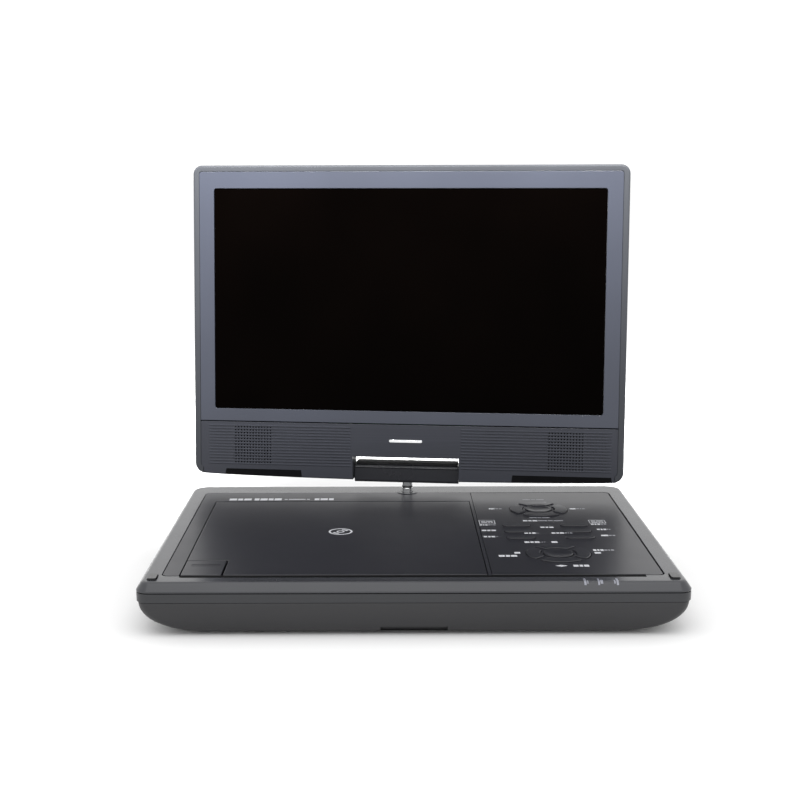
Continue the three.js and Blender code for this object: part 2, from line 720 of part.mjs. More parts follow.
// ---------------------------------------------------------------- control panel and keys
// Outline of one quarter of a ring pad, facing the direction given in degrees.
function arcOutline(y, degrees, grow) {
  const inner = PAD.inner - grow;
  const outer = PAD.outer + grow;
  const side = 1.6 - grow;
  const span = (radius) => Math.PI / 4 - Math.asin(side / radius);
  const facing = THREE.MathUtils.degToRad(degrees);
  const steps = 5;
  const points = [];
  const place = (radius, angle) => {
    points.push([PAD.x + radius * Math.cos(angle), y + radius * Math.sin(angle)]);
  };
  for (let i = 0; i <= steps; i++) {
    place(outer, facing + span(outer) * ((2 * i) / steps - 1));
  }
  for (let i = steps; i >= 0; i--) {
    place(inner, facing + span(inner) * ((2 * i) / steps - 1));
  }
  return points;
}

function barOutline(x, y, grow) {
  const length = BAR.halfLength + grow;
  const width = BAR.halfWidth + grow;
  return roundedRect(x - length, x + length, y - width, y + width, width - 0.05, 4);
}

// Every key: its name, its outline grown by a margin, and where its stem stands.
function keyList() {
  const keys = [];
  const facings = { up: 90, left: 180, down: 270, right: 0 };
  for (const [pad, y] of Object.entries(PAD_Y)) {
    for (const [word, degrees] of Object.entries(facings)) {
      const angle = THREE.MathUtils.degToRad(degrees);
      const reach = (PAD.inner + PAD.outer) / 2;
      keys.push({
        name: `${pad}_${word}`,
        outline: (grow) => arcOutline(y, degrees, grow),
        stem: [PAD.x + reach * Math.cos(angle), y + reach * Math.sin(angle)],
      });
    }
    keys.push({
      name: `${pad}_centre`,
      outline: (grow) => circle(PAD.x, y, PAD.centre + grow, 28),
      stem: [PAD.x, y],
    });
  }
  for (const [side, x] of Object.entries(BAR_X)) {
    BAR.y.forEach((y, row) => {
      keys.push({
        name: `bar_${side}_${row + 1}`,
        outline: (grow) => barOutline(x, y, grow),
        stem: [x, y],
      });
    });
  }
  return keys;
}

function controlPanel() {
  const { gap, x, front, back, corner } = DECK;
  const edge = [corner - gap, corner - gap, 0, 0];
  const outline = roundedRect(PANEL.x0, x - gap, front + gap, back - gap, edge);
  const holes = keyList().map((key) => key.outline(0.35));
  const plate = slab(outline, -PANEL.thick, 0, holes);
  const pegs = [
    [43, 22],
    [108, 22],
    [43, 166],
    [108, 166],
  ].map(([px, py]) => rodZ(px, py, 2, -7, -PANEL.thick + 0.3, 12));
  return join(plate, pegs);
}

// Cap through the panel, a wider flange that keeps it in, and a stem to its dome.
function keyCap({ outline, stem: [x, y] }) {
  const cap = slab(outline(0), -3.2, PAD.rise);
  const flange = slab(outline(0.75), -3.3, -2.3);
  return join(cap, flange, rodZ(x, y, 1.4, -5.4, -3.1, 10));
}

// ---------------------------------------------------------------- swivel and hinge block
// Fixed bush in the base: a flange under the deck and a collar up through it.
function swivelBearing() {
  const profile = [
    [POST.boreRadius, -7.4],
    [12, -7.4],
    [12, -5.3],
    [POST.collar, -5.3],
    [POST.collar, 0.1],
    [POST.collar - 0.3, 0.4],
    [POST.boreRadius, 0.4],
    [POST.boreRadius, -7.4],
  ];
  return turned(profile, 28).translate(0, HINGE.y, 0);
}

// Drawn about its own axis: it is moved to the swivel axis with the block.
function swivelPost() {
  const profile = [
    [0, -9.6],
    [7, -9.6],
    [7, -7.8],
    [POST.radius, -7.8],
    [POST.radius, 3.1],
    [POST.radius - 0.7, 3.4],
    [POST.radius - 0.7, 4],
    [POST.radius, 4.3],
    [POST.radius, 13.4],
    [0, 13.4],
  ];
  return turned(profile, 24);
}

function hingeBlock() {
  const { length, depth, height, axisZ } = HINGE;
  const low = axisZ - height / 2;
  const profile = roundedRect(-depth / 2, depth / 2, low, low + height, [1.6, 1.2, 1.2, 1.6], 4);
  const block = prismX(profile, -length / 2, length / 2);
  const postBore = rodZ(0, 0, POST.radius + FIT, low - 1, 13.8, 28);
  const shaftBores = [
    rodX(-length / 2 - 1, -SHAFT.boreStart, 0, axisZ, SHAFT.bore, 16),
    rodX(SHAFT.boreStart, length / 2 + 1, 0, axisZ, SHAFT.bore, 16),
  ];
  return carve(block, postBore, shaftBores);
}

// ---------------------------------------------------------------- screen housing
// Height of the housing's bowed lower edge at a distance u from its middle.
function lowerEdge(u) {
  return LID.bottom + LID.bow * (u / LID.halfWidth) ** 2;
}

// Housing outline moved inwards by an inset; its lower edge is an arc of short steps.
function lidOutline(inset, top = LID.top - inset, radii = [5, 6]) {
  const half = LID.halfWidth - inset;
  const topRadius = Math.max(radii[0] - inset, 0.6);
  const lowRadius = Math.max(radii[1] - inset, 0.6);
  const low = lowerEdge(half) + inset;
  const points = roundedRect(-half, half, low, top, [lowRadius, topRadius, topRadius, lowRadius]);
  const steps = 10;
  for (let i = 1; i < steps; i++) {
    const u = (half - lowRadius) * ((2 * i) / steps - 1);
    points.push([u, lowerEdge(u) + inset]);
  }
  return points;
}

function lidBack() {
  const layers = [
    [2.6, LID.back],
    [0.9, LID.back + 0.6],
    [0.1, LID.back + 1.9],
    [0, LID.front - 1],
    [0.25, LID.front - 0.25],
    [0.9, LID.front],
    [LIP.width, LID.front],
    [LIP.width, LID.front - 2.7],
    [LIP.wall, LID.front - 2.7],
    [LIP.wall, LID.back + LIP.wall],
  ];
  const shell = loft(layers.map(([inset, z]) => ({ points: lidOutline(inset), z })));
  const reach = NOTCH.halfWidth + NOTCH.wall;
  const surround = cuboid(-reach, reach, -1.5, NOTCH.top + NOTCH.wall, LID.back + 1, 8);
  const notch = cuboid(-NOTCH.halfWidth, NOTCH.halfWidth, -9, NOTCH.top, -9, 14);
  const shafts = rodX(-reach - 3, reach + 3, 0, 0, SHAFT.bore, 16);
  const bands = [
    cuboid(-105.4, -59.6, -6, 1.6, LID.front - 0.8, 14),
    cuboid(60, 117, -6, 1.6, LID.front - 0.8, 14),
  ];
  return carve(join(shell, surround), notch, shafts, bands);
}

function lidBezel() {
  const inset = LIP.width + LIP.gap;
  const half = LID.halfWidth - inset;
  const outline = roundedRect(-half, half, SEAM_V + 0.15, LID.top - inset, [0, 1.2, 1.2, 0]);
  const { halfWidth, bottom, top } = WINDOW;
  const hole = roundedRect(-halfWidth, halfWidth, bottom, top, 0.8, 2);
  return slab(outline, LID.front - 2.4, LID.front - 0.4, [hole]);
}

// Ribbed lower panel with slots in front of the two speakers.
function speakerPanel() {
  const inset = LIP.width + LIP.gap;
  const outline = lidOutline(inset, SEAM_V - 0.15, [inset, 6]);
  const face = LID.front - 0.4;
  const plate = slab(outline, LID.front - 2.4, face);
  const notch = cuboid(-NOTCH.halfWidth, NOTCH.halfWidth, -9, NOTCH.top, -9, 14);
  const ribs = [];
  for (let k = 0; k < RIB.count; k++) {
    const v = RIB.first + k * RIB.pitch;
    for (const side of [-1, 1]) {
      const ends = [side * RIB.inner, side * RIB.outer].sort((a, b) => a - b);
      const v0 = v - RIB.width / 2;
      ribs.push(cuboid(...ends, v0, v0 + RIB.width, face - 0.3, face + RIB.rise - 0.05));
    }
  }
  const slots = [];
  for (let k = 0; k < GRILLE.slots; k++) {
    const v = GRILLE.first + k * GRILLE.pitch - GRILLE.height / 2 - 0.45;
    for (const side of [-1, 1]) {
      const ends = [side * GRILLE.inner, side * GRILLE.outer].sort((a, b) => a - b);
      slots.push(cuboid(...ends, v, v + GRILLE.height, 0, 14));
    }
  }
  return carve(join(plate, ribs), notch, slots);
}

function lcdPanel() {
  return join(cuboid(...LCD_FRAME), cuboid(...LCD_TAPE));
}

function screenWindow() {
  const { halfWidth, bottom, top } = WINDOW;
  const edge = halfWidth - LIP.gap;
  const outline = roundedRect(-edge, edge, bottom + LIP.gap, top - LIP.gap, 0.6, 2);
  return slab(outline, 8.4, LID.front - 1);
}

function speaker(side) {
  const { y, halfWidth, halfHeight } = SPEAKER;
  const x = side * SPEAKER.x;
  const frame = cuboid(x - halfWidth, x + halfWidth, y - halfHeight, y + halfHeight, 4.6, 7.9);
  const magnet = rodZ(x, y, SPEAKER.magnet, 0.6, 5, 24);
  const cone = rodZ(x, y, SPEAKER.cone, 6.6, 9, 24);
  return carve(join(frame, magnet), cone);
}

function panelBoard() {
  return join(
    cuboid(...SCREEN_BOARD),
    SCREEN_CHIPS.map((chip) => cuboid(...chip)),
  );
}

// Friction shaft that turns in the hinge block, and the leaf that fixes it to the housing.
function tiltShaft(side) {
  const ends = [side * SHAFT.inner, side * SHAFT.outer].sort((a, b) => a - b);
  const leafEnds = [side * LEAF.inner, side * LEAF.outer].sort((a, b) => a - b);
  const shaft = rodX(...ends, 0, 0, SHAFT.radius, 16);
  const leaf = cuboid(...leafEnds, -1.4, 13.6, -2.2, -0.4);
  const hole = rodZ(side * LEAF.holeX, LEAF.holeY, LEAF.hole, -4, 2, 12);
  return carve(join(shaft, leaf), hole);
}

// ---------------------------------------------------------------- assembly
const FINISHES = {
  shell: { color: 0x4a4b50, roughness: 0.35, metalness: 0 },
  trim: { color: 0x6c6d72, roughness: 0.2, metalness: 0.1 },
  deck: { color: 0x3a3b40, roughness: 0.12, metalness: 0 },
  bezel: { color: 0x5c616e, roughness: 0.25, metalness: 0.1 },
  black: { color: 0x08080a, roughness: 0.3, metalness: 0 },
  metal: { color: 0xb9bcc2, roughness: 0.25, metalness: 1 },
  board: { color: 0x1f5a3a, roughness: 0.55, metalness: 0 },
  rubber: { color: 0x141416, roughness: 0.8, metalness: 0 },
  cell: { color: 0x2b3c66, roughness: 0.5, metalness: 0 },
  module: { color: 0x8a8d92, roughness: 0.5, metalness: 0.4 },
  clear: { color: 0xd8e4ea, roughness: 0.15, metalness: 0 },
};

const root = new THREE.Group();
const base = new THREE.Group();
const turret = new THREE.Group();
const lid = new THREE.Group();
root.add(base);
base.add(turret);
turret.add(lid);
base.position.set(0, -MIDDLE_Y, -TABLE_Z);
turret.position.set(0, HINGE.y, 0);
turret.rotation.z = SWIVEL;
lid.position.set(0, 0, HINGE.axisZ);
lid.rotation.x = Math.PI / 2 - LEAN;

function place(group, name, finish, geometry) {
  const mesh = new THREE.Mesh(geometry, new THREE.MeshStandardMaterial(FINISHES[finish]));
  mesh.name = name;
  group.add(mesh);
}

place(base, "top_trim", "trim", topTrim());
place(base, "upper_case", "shell", upperCase());
place(base, "lower_case", "shell", lowerCase());
FOOT.y.forEach((y, row) => {
  const where = row ? "back" : "front";
  place(base, `foot_${where}_left`, "rubber", foot(-1, y));
  place(base, `foot_${where}_right`, "rubber", foot(1, y));
});
place(base, "bumper_left", "rubber", bumperShape(-1, 0, BUMPER.bottom, BUMPER.top));
place(base, "bumper_right", "rubber", bumperShape(1, 0, BUMPER.bottom, BUMPER.top));

place(base, "disc_bay", "deck", discBay());
place(base, "disc_door", "deck", discDoor());
place(base, "open_button", "deck", openButton());
place(base, "mech_chassis", "metal", mechChassis());
place(base, "rail_front", "metal", guideRail(-1));
place(base, "rail_back", "metal", guideRail(1));
place(base, "spindle_motor", "metal", spindleMotor());
place(base, "spindle_hub", "black", spindleHub());
place(base, "pickup_sled", "black", pickupSled());
place(base, "feed_pinion", "clear", feedPinion());
place(base, "feed_motor", "metal", feedMotor());

place(base, "main_board", "board", mainBoard());
place(base, "key_board", "board", keyBoard());
place(base, "battery_pack", "cell", batteryPack());
place(base, "headphone_jack", "black", roundJack(...JACKS[0], PLUG_BORE.round));
place(base, "av_jack", "black", roundJack(...JACKS[1], PLUG_BORE.round));
place(base, "dc_jack", "black", dcJack());
place(base, "port_block", "metal", portBlock());
place(base, "power_switch", "black", powerSwitch());
place(base, "volume_wheel", "black", volumeWheel());
place(base, "light_guide", "clear", lightGuide());

place(base, "control_panel", "deck", controlPanel());
for (const key of keyList()) place(base, key.name, "deck", keyCap(key));

place(base, "swivel_bearing", "metal", swivelBearing());
place(turret, "swivel_post", "metal", swivelPost());
place(turret, "hinge_block", "shell", hingeBlock());

place(lid, "lid_back", "shell", lidBack());
place(lid, "lid_bezel", "bezel", lidBezel());
place(lid, "speaker_panel", "deck", speakerPanel());
place(lid, "lcd_panel", "module", lcdPanel());
place(lid, "screen_window", "black", screenWindow());
place(lid, "speaker_left", "black", speaker(-1));
place(lid, "speaker_right", "black", speaker(1));
place(lid, "panel_board", "board", panelBoard());
place(lid, "tilt_shaft_left", "metal", tiltShaft(-1));
place(lid, "tilt_shaft_right", "metal", tiltShaft(1));

export default root;
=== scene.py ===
"""Looks of a portable disc player with a swivelling screen.

Shapes are drawn in millimetres in the space of their body: "screen" has the tilt axis along X,
its height along Y and its face to +Z, "turret" is centred on the swivel axis, and all others
have the front edge at y = 0 and the deck's top at z = 0.
"""

import json
import math

import bmesh
import bpy
from mathutils import Matrix, Vector


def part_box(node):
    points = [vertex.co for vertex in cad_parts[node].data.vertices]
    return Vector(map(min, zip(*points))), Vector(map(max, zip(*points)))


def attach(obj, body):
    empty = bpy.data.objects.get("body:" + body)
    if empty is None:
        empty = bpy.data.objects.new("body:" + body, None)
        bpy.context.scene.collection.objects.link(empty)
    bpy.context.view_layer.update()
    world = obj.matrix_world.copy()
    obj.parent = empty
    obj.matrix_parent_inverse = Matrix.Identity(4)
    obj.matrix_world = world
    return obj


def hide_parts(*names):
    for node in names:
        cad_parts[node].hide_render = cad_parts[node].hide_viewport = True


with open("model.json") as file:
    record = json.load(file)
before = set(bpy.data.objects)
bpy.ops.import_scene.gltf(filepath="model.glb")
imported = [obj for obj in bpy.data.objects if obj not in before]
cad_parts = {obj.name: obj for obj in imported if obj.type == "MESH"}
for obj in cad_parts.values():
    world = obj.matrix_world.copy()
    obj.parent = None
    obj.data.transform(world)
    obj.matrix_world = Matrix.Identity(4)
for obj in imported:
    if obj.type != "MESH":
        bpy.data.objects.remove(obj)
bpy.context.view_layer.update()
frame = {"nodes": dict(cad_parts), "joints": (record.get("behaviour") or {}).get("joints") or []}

MM = 0.001
# Edges blunter than this many degrees are shaded smooth.
SMOOTH_ANGLE = 35
NODES = frame["nodes"]
JOINTS = {joint["name"]: joint for joint in frame["joints"]}

# -- driving sizes, millimetres
BASE_HALF = 127
BASE_DEPTH = 197
BASE_FRONT_CORNER, BASE_BACK_CORNER = 6, 10
DECK_HALF, DECK_FRONT, DECK_BACK, DECK_CORNER = 116.4, 12.6, 177.2, 3
SLOT_LEFT, SLOT_RIGHT, SLOT_FRONT, SLOT_BACK = -108, 107.3, 9.6, 13.9
BUMPER_X, BUMPER_Y, BUMPER_HALF_WIDTH, BUMPER_HALF_LENGTH = 120, 10, 2.3, 4.2
BAND_TOP, BAND_BOTTOM, BAND_WALL, LEDGE_TOP, LEDGE_BOTTOM, LEDGE_INSET = -4.9, -9.2, 2.2, -5.1, -6.9, -3.4
# A level below the whole belly, from which cuts into its bottom start.
UNDER = -26
FRONT_SLOT = (-15.2, 15.6, 0, 6, -23.5, -21.3)
FOOT_X, FOOT_Y, FOOT_HOLE, FOOT_TOP = 85, (24, 173), 6.3, -23.4
VENT_LEFT, VENT_FRONT, VENT_BACK, VENT_WIDTH, VENT_PITCH, VENT_COUNT = -62, 118, 146, 2.6, 6, 12
UNDER_RECESS, UNDER_RECESS_DEPTH = (10, 78, 60, 104), 0.7
SCREWS = [(-100, 30), (100, 30), (-100, 165), (100, 165), (-37, 20), (40, 178)]
SCREW_SEAT, SCREW_WELL, SCREW_WELL_TOP, SCREW_ARM, SCREW_ARM_HALF = -22.7, 3.1, -22.9, 1.4, 0.28
BELLY_TOP, BELLY_BOTTOM, BELLY_WALL = -9.35, -24.2, 2.0
BELLY_STEP, BELLY_LIP, BELLY_SIDE, BELLY_FRONT, BELLY_OPENING = 1.0, 0.2, 26, 5.8, 4
CORNER_SHRINK = 0.79
DOOR_LEFT, DOOR_RIGHT, DOOR_BACK, DOOR_THICK = -108, 34.3, 156, 2.2
DOOR_AXIS_Y, DOOR_AXIS_Z = 154.6, -1.9
DOOR_RING, DISC_SEAT, HOOK_X, HOOK_BOTTOM = (60, 58.6), (12, 9), (-85, -81), -6.6
PIN_RADIUS, PIN_LENGTH, PIN_LEFT, PIN_RIGHT = 0.9, 9, 2.2, 1.6
TAB_RIGHT, TAB_BACK, TAB_STEM_X, TAB_STEM_Y, TAB_STEM_RADIUS = -88.7, 37.8, -98, 25, 2.5
WELL_X, WELL_Y, LENS_X = -37, 84, -13
PANEL_LEFT, PANEL_THICK, PEG_X, PEG_Y = 36.6, 2, (43, 108), (22, 166)
PAD_X, PAD_OUTER, PAD_INNER, PAD_CENTRE, PAD_GAP = 71.5, 15.6, 9, 7.2, 1.6
PAD_Y = {"pad_a": 137, "pad_b": 48.8}
BAR_X = {"left": 56.2, "right": 86.4}
BAR_Y = (102.5, 90.3, 78.1)
BAR_HALF_LENGTH, BAR_HALF_WIDTH = 7.2, 2.3
KEY_RISE, KEY_BOTTOM, KEY_STEM = 0.5, -3.2, (1.4, -5.4, -3.1)
DECK_MARKS_Y, DISC_MARK = 161.8, (-36, 91, 6.2)
PORT_Z, MOUTH_X = -13.8, 123.35
RIGHT_WALL, LEFT_WALL, JACK_CUT = (120, 128), (-128, -119), (118, 128)
JACKS = {"headphone_jack": (70, 3), "av_jack": (84, 3), "dc_jack": (100, 3.4)}
LIGHTS_X = (78.4, 85, 92.4)
WHEEL_Y, WHEEL_SLOT, WHEEL_SLOT_RISE = 50, 6.9, 1.7
SWITCH_SLOT = (117.9, 127.1)
WIDE_SOCKET, CARD_SLOT = (60.2, 75.3, -16.6, -10.6), (77.6, 91.4, -15.4, -12.2)
HINGE_Y, HINGE_AXIS_Z, HINGE_HALF, HINGE_DEPTH, HINGE_HEIGHT = 178.5, 11.9, 30, 10.8, 10.4
POST_RADIUS = 3.05
LID_HALF, LID_TOP, LID_BOTTOM, LID_BOW, LID_FRONT, LID_BACK = 123, 175.1, -3.6, 1.8, 10.7, -4.3
LID_TOP_RADIUS, LID_LOW_RADIUS, LID_WALL, LID_FILLET, LID_RIM_FILLET = 5.0, 6.0, 1.5, 2.4, 1.2
LID_FACE = LID_FRONT - 0.25
RIM_WIDTH = 3.5
SEAM_V = 29.1
WINDOW_HALF, WINDOW_LOW, WINDOW_HIGH = 111, 36.3, 162.2
NOTCH_HALF, NOTCH_TOP, NOTCH_WALL = 30.4, 9.8, 2.2
SHAFT_BORE, SHAFT_START = 2, 13.5
CAP_U, CAP_V, CHIN_HALF = (-60, 60), 14, 118
# Spans of the near-black strips that paint the shade along the lid's lower edge.
SHADE_STRIPS = ((-105.1, -59.9), (60.3, 116.7))
RIB_FIRST, RIB_PITCH, RIB_COUNT = 4.4, 1.7, 14
RIB_FIELDS = ((-114.7, -31.4), (31.4, 116.2))
GRILLE_HOLE, GRILLE_FIELDS = 0.44, ((-98.8, 13), (81.2, 12))
FINE_HOLE, FINE_START, FINE_COLUMNS = 0.3, 102.6, 7
LEAN = math.radians(3.9)


# -- spaces
def make_spaces():
    trim_low, trim_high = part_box("top_trim")
    tilt = JOINTS["display_tilt"]
    across = -Vector(tilt["axis"])
    swivel = Matrix.Rotation(math.atan2(across.y, across.x), 4, "Z")
    upright = Matrix.Rotation(math.pi / 2 - LEAN, 4, "X")
    turret_foot = Vector(JOINTS["display_swivel"]["pos_m"])
    return {
        "base": Matrix.Translation((0, trim_low.y, trim_high.z)),
        "turret": Matrix.Translation(turret_foot) @ swivel,
        "screen": Matrix.Translation(tilt["pos_m"]) @ swivel @ upright,
    }


SPACES = make_spaces()


def add_object(name, data):
    made = bpy.data.objects.new(name, data)
    bpy.context.scene.collection.objects.link(made)
    return made


# -- outlines
def circle(x, y, radius, sides=32):
    turns = (2 * math.pi * i / sides for i in range(sides))
    return [(x + radius * math.cos(a), y + radius * math.sin(a)) for a in turns]


def bar(x0, x1, y0, y1):
    return [(x0, y0), (x1, y0), (x1, y1), (x0, y1)]


def rounded_rect(x0, x1, y0, y1, radius, steps=8):
    """Anticlockwise outline; radii run from the corner at (x1, y0)."""
    radii = radius if isinstance(radius, (list, tuple)) else [radius] * 4
    corners = (
        (x1 - radii[0], y0 + radii[0], radii[0], -90),
        (x1 - radii[1], y1 - radii[1], radii[1], 0),
        (x0 + radii[2], y1 - radii[2], radii[2], 90),
        (x0 + radii[3], y0 + radii[3], radii[3], 180),
    )
    points = []
    for cx, cy, r, start in corners:
        if r == 0:
            points.append((cx, cy))
            continue
        for i in range(steps + 1):
            angle = math.radians(start + 90 * i / steps)
            points.append((cx + r * math.cos(angle), cy + r * math.sin(angle)))
    return points


def stadium(x0, x1, y0, y1, steps=6):
    """A bar with fully round ends."""
    return rounded_rect(x0, x1, y0, y1, min(x1 - x0, y1 - y0) / 2 - 0.01, steps)


def ring_sector(y, degrees, grow):
    """A quarter of a ring pad facing the given direction, with round corners."""
    inner, outer, side = PAD_INNER - grow, PAD_OUTER + grow, PAD_GAP - grow
    facing = math.radians(degrees)
    round_off, corner_in, corner_along, steps = 0.9, 0.27, 0.64, 14

    def spot(radius, angle):
        return (PAD_X + radius * math.cos(angle), y + radius * math.sin(angle))

    def span(radius):
        return math.pi / 4 - math.asin(side / radius)

    points = []
    for edge, turn in ((outer, 1), (inner, -1)):
        reach = span(edge) - round_off / edge
        near = edge - turn * round_off
        points.append(spot(near, facing - turn * span(near)))
        corner = edge - turn * corner_in
        points.append(spot(corner, facing - turn * (reach + corner_along / edge)))
        for i in range(steps + 1):
            points.append(spot(edge, facing + turn * reach * (2 * i / steps - 1)))
        points.append(spot(corner, facing + turn * (reach + corner_along / edge)))
        points.append(spot(near, facing + turn * span(near)))
    return points


def key_outlines():
    """Every key's name, its outline as a function of growth, and its stem's place."""
    facings = {"up": 90, "left": 180, "down": 270, "right": 0}
    keys = []
    for pad, y in PAD_Y.items():
        for word, degrees in facings.items():
            angle = math.radians(degrees)
            reach = (PAD_INNER + PAD_OUTER) / 2
            stem = (PAD_X + reach * math.cos(angle), y + reach * math.sin(angle))
            shape = lambda grow, y=y, d=degrees: ring_sector(y, d, grow)
            keys.append((f"{pad}_{word}", shape, stem))
        shape = lambda grow, y=y: circle(PAD_X, y, PAD_CENTRE + grow, 48)
        keys.append((f"{pad}_centre", shape, (PAD_X, y)))
    for side, x in BAR_X.items():
        for row, y in enumerate(BAR_Y):
            def shape(grow, x=x, y=y):
                length, width = BAR_HALF_LENGTH + grow, BAR_HALF_WIDTH + grow
                return stadium(x - length, x + length, y - width, y + width, 8)
            keys.append((f"bar_{side}_{row + 1}", shape, (x, y)))
    return keys


# -- solids, each a (points, faces) pair
def loft(rings, closed=False):
    """Skins matching rings of (x, y, z) points; an open stack is capped at both ends."""
    count = len(rings[0])
    points = [point for ring in rings for point in ring]
    faces = []
    for i in range(len(rings) if closed else len(rings) - 1):
        low, high = i * count, (i + 1) % len(rings) * count
        for j in range(count):
            nxt = (j + 1) % count
            faces.append((low + j, low + nxt, high + nxt, high + j))
    if not closed:
        last = (len(rings) - 1) * count
        faces.append(tuple(reversed(range(count))))
        faces.append(tuple(range(last, last + count)))
    return points, faces


def at_height(outline, z):
    return [(x, y, z) for x, y in outline]


def prism(outline, z0, z1):
    return loft([at_height(outline, z0), at_height(outline, z1)])


def cuboid(x0, x1, y0, y1, z0, z1):
    return prism(bar(x0, x1, y0, y1), z0, z1)


def lathe(profile, x=0, y=0, sides=48):
    """Revolves (radius, z) pairs that end on the axis or close on themselves."""
    closed = profile[0] == profile[-1]
    if closed:
        profile = profile[:-1]
    points, rows, faces = [], [], []
    for radius, z in profile:
        if radius == 0:
            rows.append([len(points)])
            points.append((x, y, z))
        else:
            rows.append(list(range(len(points), len(points) + sides)))
            points += at_height(circle(x, y, radius, sides), z)
    pairs = list(zip(rows, rows[1:])) + ([(rows[-1], rows[0])] if closed else [])
    for low, high in pairs:
        for j in range(sides):
            nxt = (j + 1) % sides
            lower = [low[j % len(low)], low[nxt % len(low)]]
            upper = [high[nxt % len(high)], high[j % len(high)]]
            corners = tuple(dict.fromkeys(lower + upper))
            if len(corners) > 2:
                faces.append(corners)
    return points, faces


def hoop(outer, inner, z0, z1, x, y, sides):
    """A ring with a rectangular section."""
    return lathe([(outer, z0), (outer, z1), (inner, z1), (inner, z0), (outer, z0)], x, y, sides)


def turn_to_x(solid):
    """Lays a solid drawn along Z down along X."""
    points, faces = solid
    return [(z, x, y) for x, y, z in points], faces


def rod_x(x0, x1, y, z, radius, sides=24):
    return turn_to_x(prism(circle(y, z, radius, sides), x0, x1))


def rod_z(x, y, radius, z0, z1, sides=32):
    return prism(circle(x, y, radius, sides), z0, z1)


def prism_x(outline, x0, x1):
    return turn_to_x(prism(outline, x0, x1))


def plate(outline, z0, z1, holes=(), edge=0.3, steps=2):
    """A flat plate with holes whose edges are rounded all the way round."""
    curve = bpy.data.curves.new("plate", "CURVE")
    curve.dimensions = "2D"
    curve.fill_mode = "BOTH"
    curve.extrude = (z1 - z0) / 2 - edge
    curve.bevel_depth = edge
    curve.bevel_resolution = steps
    curve.offset = -edge
    for points in (outline, *holes):
        spline = curve.splines.new("POLY")
        spline.points.add(len(points) - 1)
        for point, (x, y) in zip(spline.points, points):
            point.co = (x, y, 0, 1)
        spline.use_cyclic_u = True
    shape = add_object("plate", curve)
    graph = bpy.context.evaluated_depsgraph_get()
    mesh = bpy.data.meshes.new_from_object(shape.evaluated_get(graph))
    lift = (z0 + z1) / 2
    points = [(v.co.x, v.co.y, v.co.z + lift) for v in mesh.vertices]
    faces = [tuple(face.vertices) for face in mesh.polygons]
    bpy.data.objects.remove(shape)
    bpy.data.curves.remove(curve)
    bpy.data.meshes.remove(mesh)
    return points, faces


# -- pieces
def mesh_of(solids):
    """One mesh holding several solids as they are, with shared points merged and faces outwards."""
    build = bmesh.new()
    for points, faces in solids:
        verts = [build.verts.new(point) for point in points]
        for face in faces:
            build.faces.new([verts[i] for i in face])
    bmesh.ops.remove_doubles(build, verts=build.verts, dist=1e-4)
    bmesh.ops.recalc_face_normals(build, faces=build.faces)
    mesh = bpy.data.meshes.new("solid")
    build.to_mesh(mesh)
    build.free()
    return mesh


def combine(mesh, solid, operation):
    """Joins a solid to a mesh or cuts it out."""
    target = add_object("target", mesh)
    tool = add_object("tool", mesh_of([solid]))
    modifier = target.modifiers.new("combine", "BOOLEAN")
    modifier.operation = operation
    modifier.solver = "MANIFOLD"
    modifier.object = tool
    graph = bpy.context.evaluated_depsgraph_get()
    made = bpy.data.meshes.new_from_object(target.evaluated_get(graph))
    for helper in (target, tool):
        data = helper.data
        bpy.data.objects.remove(helper)
        bpy.data.meshes.remove(data)
    return made


def merged(solids):
    """Several solids that don't touch each other, as one."""
    points, faces = [], []
    for more_points, more_faces in solids:
        start = len(points)
        points += more_points
        faces += [tuple(start + i for i in face) for face in more_faces]
    return points, faces


def soften(mesh, width):
    """Dissolves flat joins and rounds every sharp edge."""
    build = bmesh.new()
    build.from_mesh(mesh)
    limit = math.radians(SMOOTH_ANGLE)
    bmesh.ops.dissolve_limit(
        build, angle_limit=math.radians(1), verts=build.verts, edges=build.edges
    )
    edges = [e for e in build.edges if e.is_manifold and e.calc_face_angle(0) > limit]
    bmesh.ops.bevel(
        build, geom=edges, offset=width, offset_type="OFFSET", segments=2,
        profile=0.5, affect="EDGES", clamp_overlap=True,
    )
    build.to_mesh(mesh)
    build.free()


def level_flats(target):
    """Lets large flat faces set the shading normals, so rounded edges don't bend them."""
    level = target.modifiers.new("level", "WEIGHTED_NORMAL")
    level.mode = "FACE_AREA"
    level.keep_sharp = True


def piece(name, body, parts, look, cuts=(), edge=0, replaces=(), smooth=SMOOTH_ANGLE, slot=None):
    """Makes one named piece from solids, in the space of the body that it rides on."""
    mesh = mesh_of(parts[:1])
    for part in parts[1:]:
        mesh = combine(mesh, part, "UNION")
    for cut in cuts:
        mesh = combine(mesh, cut, "DIFFERENCE")
    if edge:
        soften(mesh, edge)
    mesh.name = name
    mesh.transform(Matrix.Scale(MM, 4))
    mesh.shade_smooth()
    mesh.set_sharp_from_angle(angle=math.radians(smooth))
    mesh.materials.clear()
    mesh.materials.append(MATERIALS[look])
    made = add_object(name, mesh)
    made.matrix_world = SPACES.get(body, SPACES["base"])
    level_flats(made)
    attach(made, body)
    if replaces:
        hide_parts(*replaces)


def stand_in(node, body, parts, look, slot, **more):
    """A piece that stands for one CAD node."""
    piece(f"visual_{node}", body, parts, look, replaces=[node], slot=slot, **more)


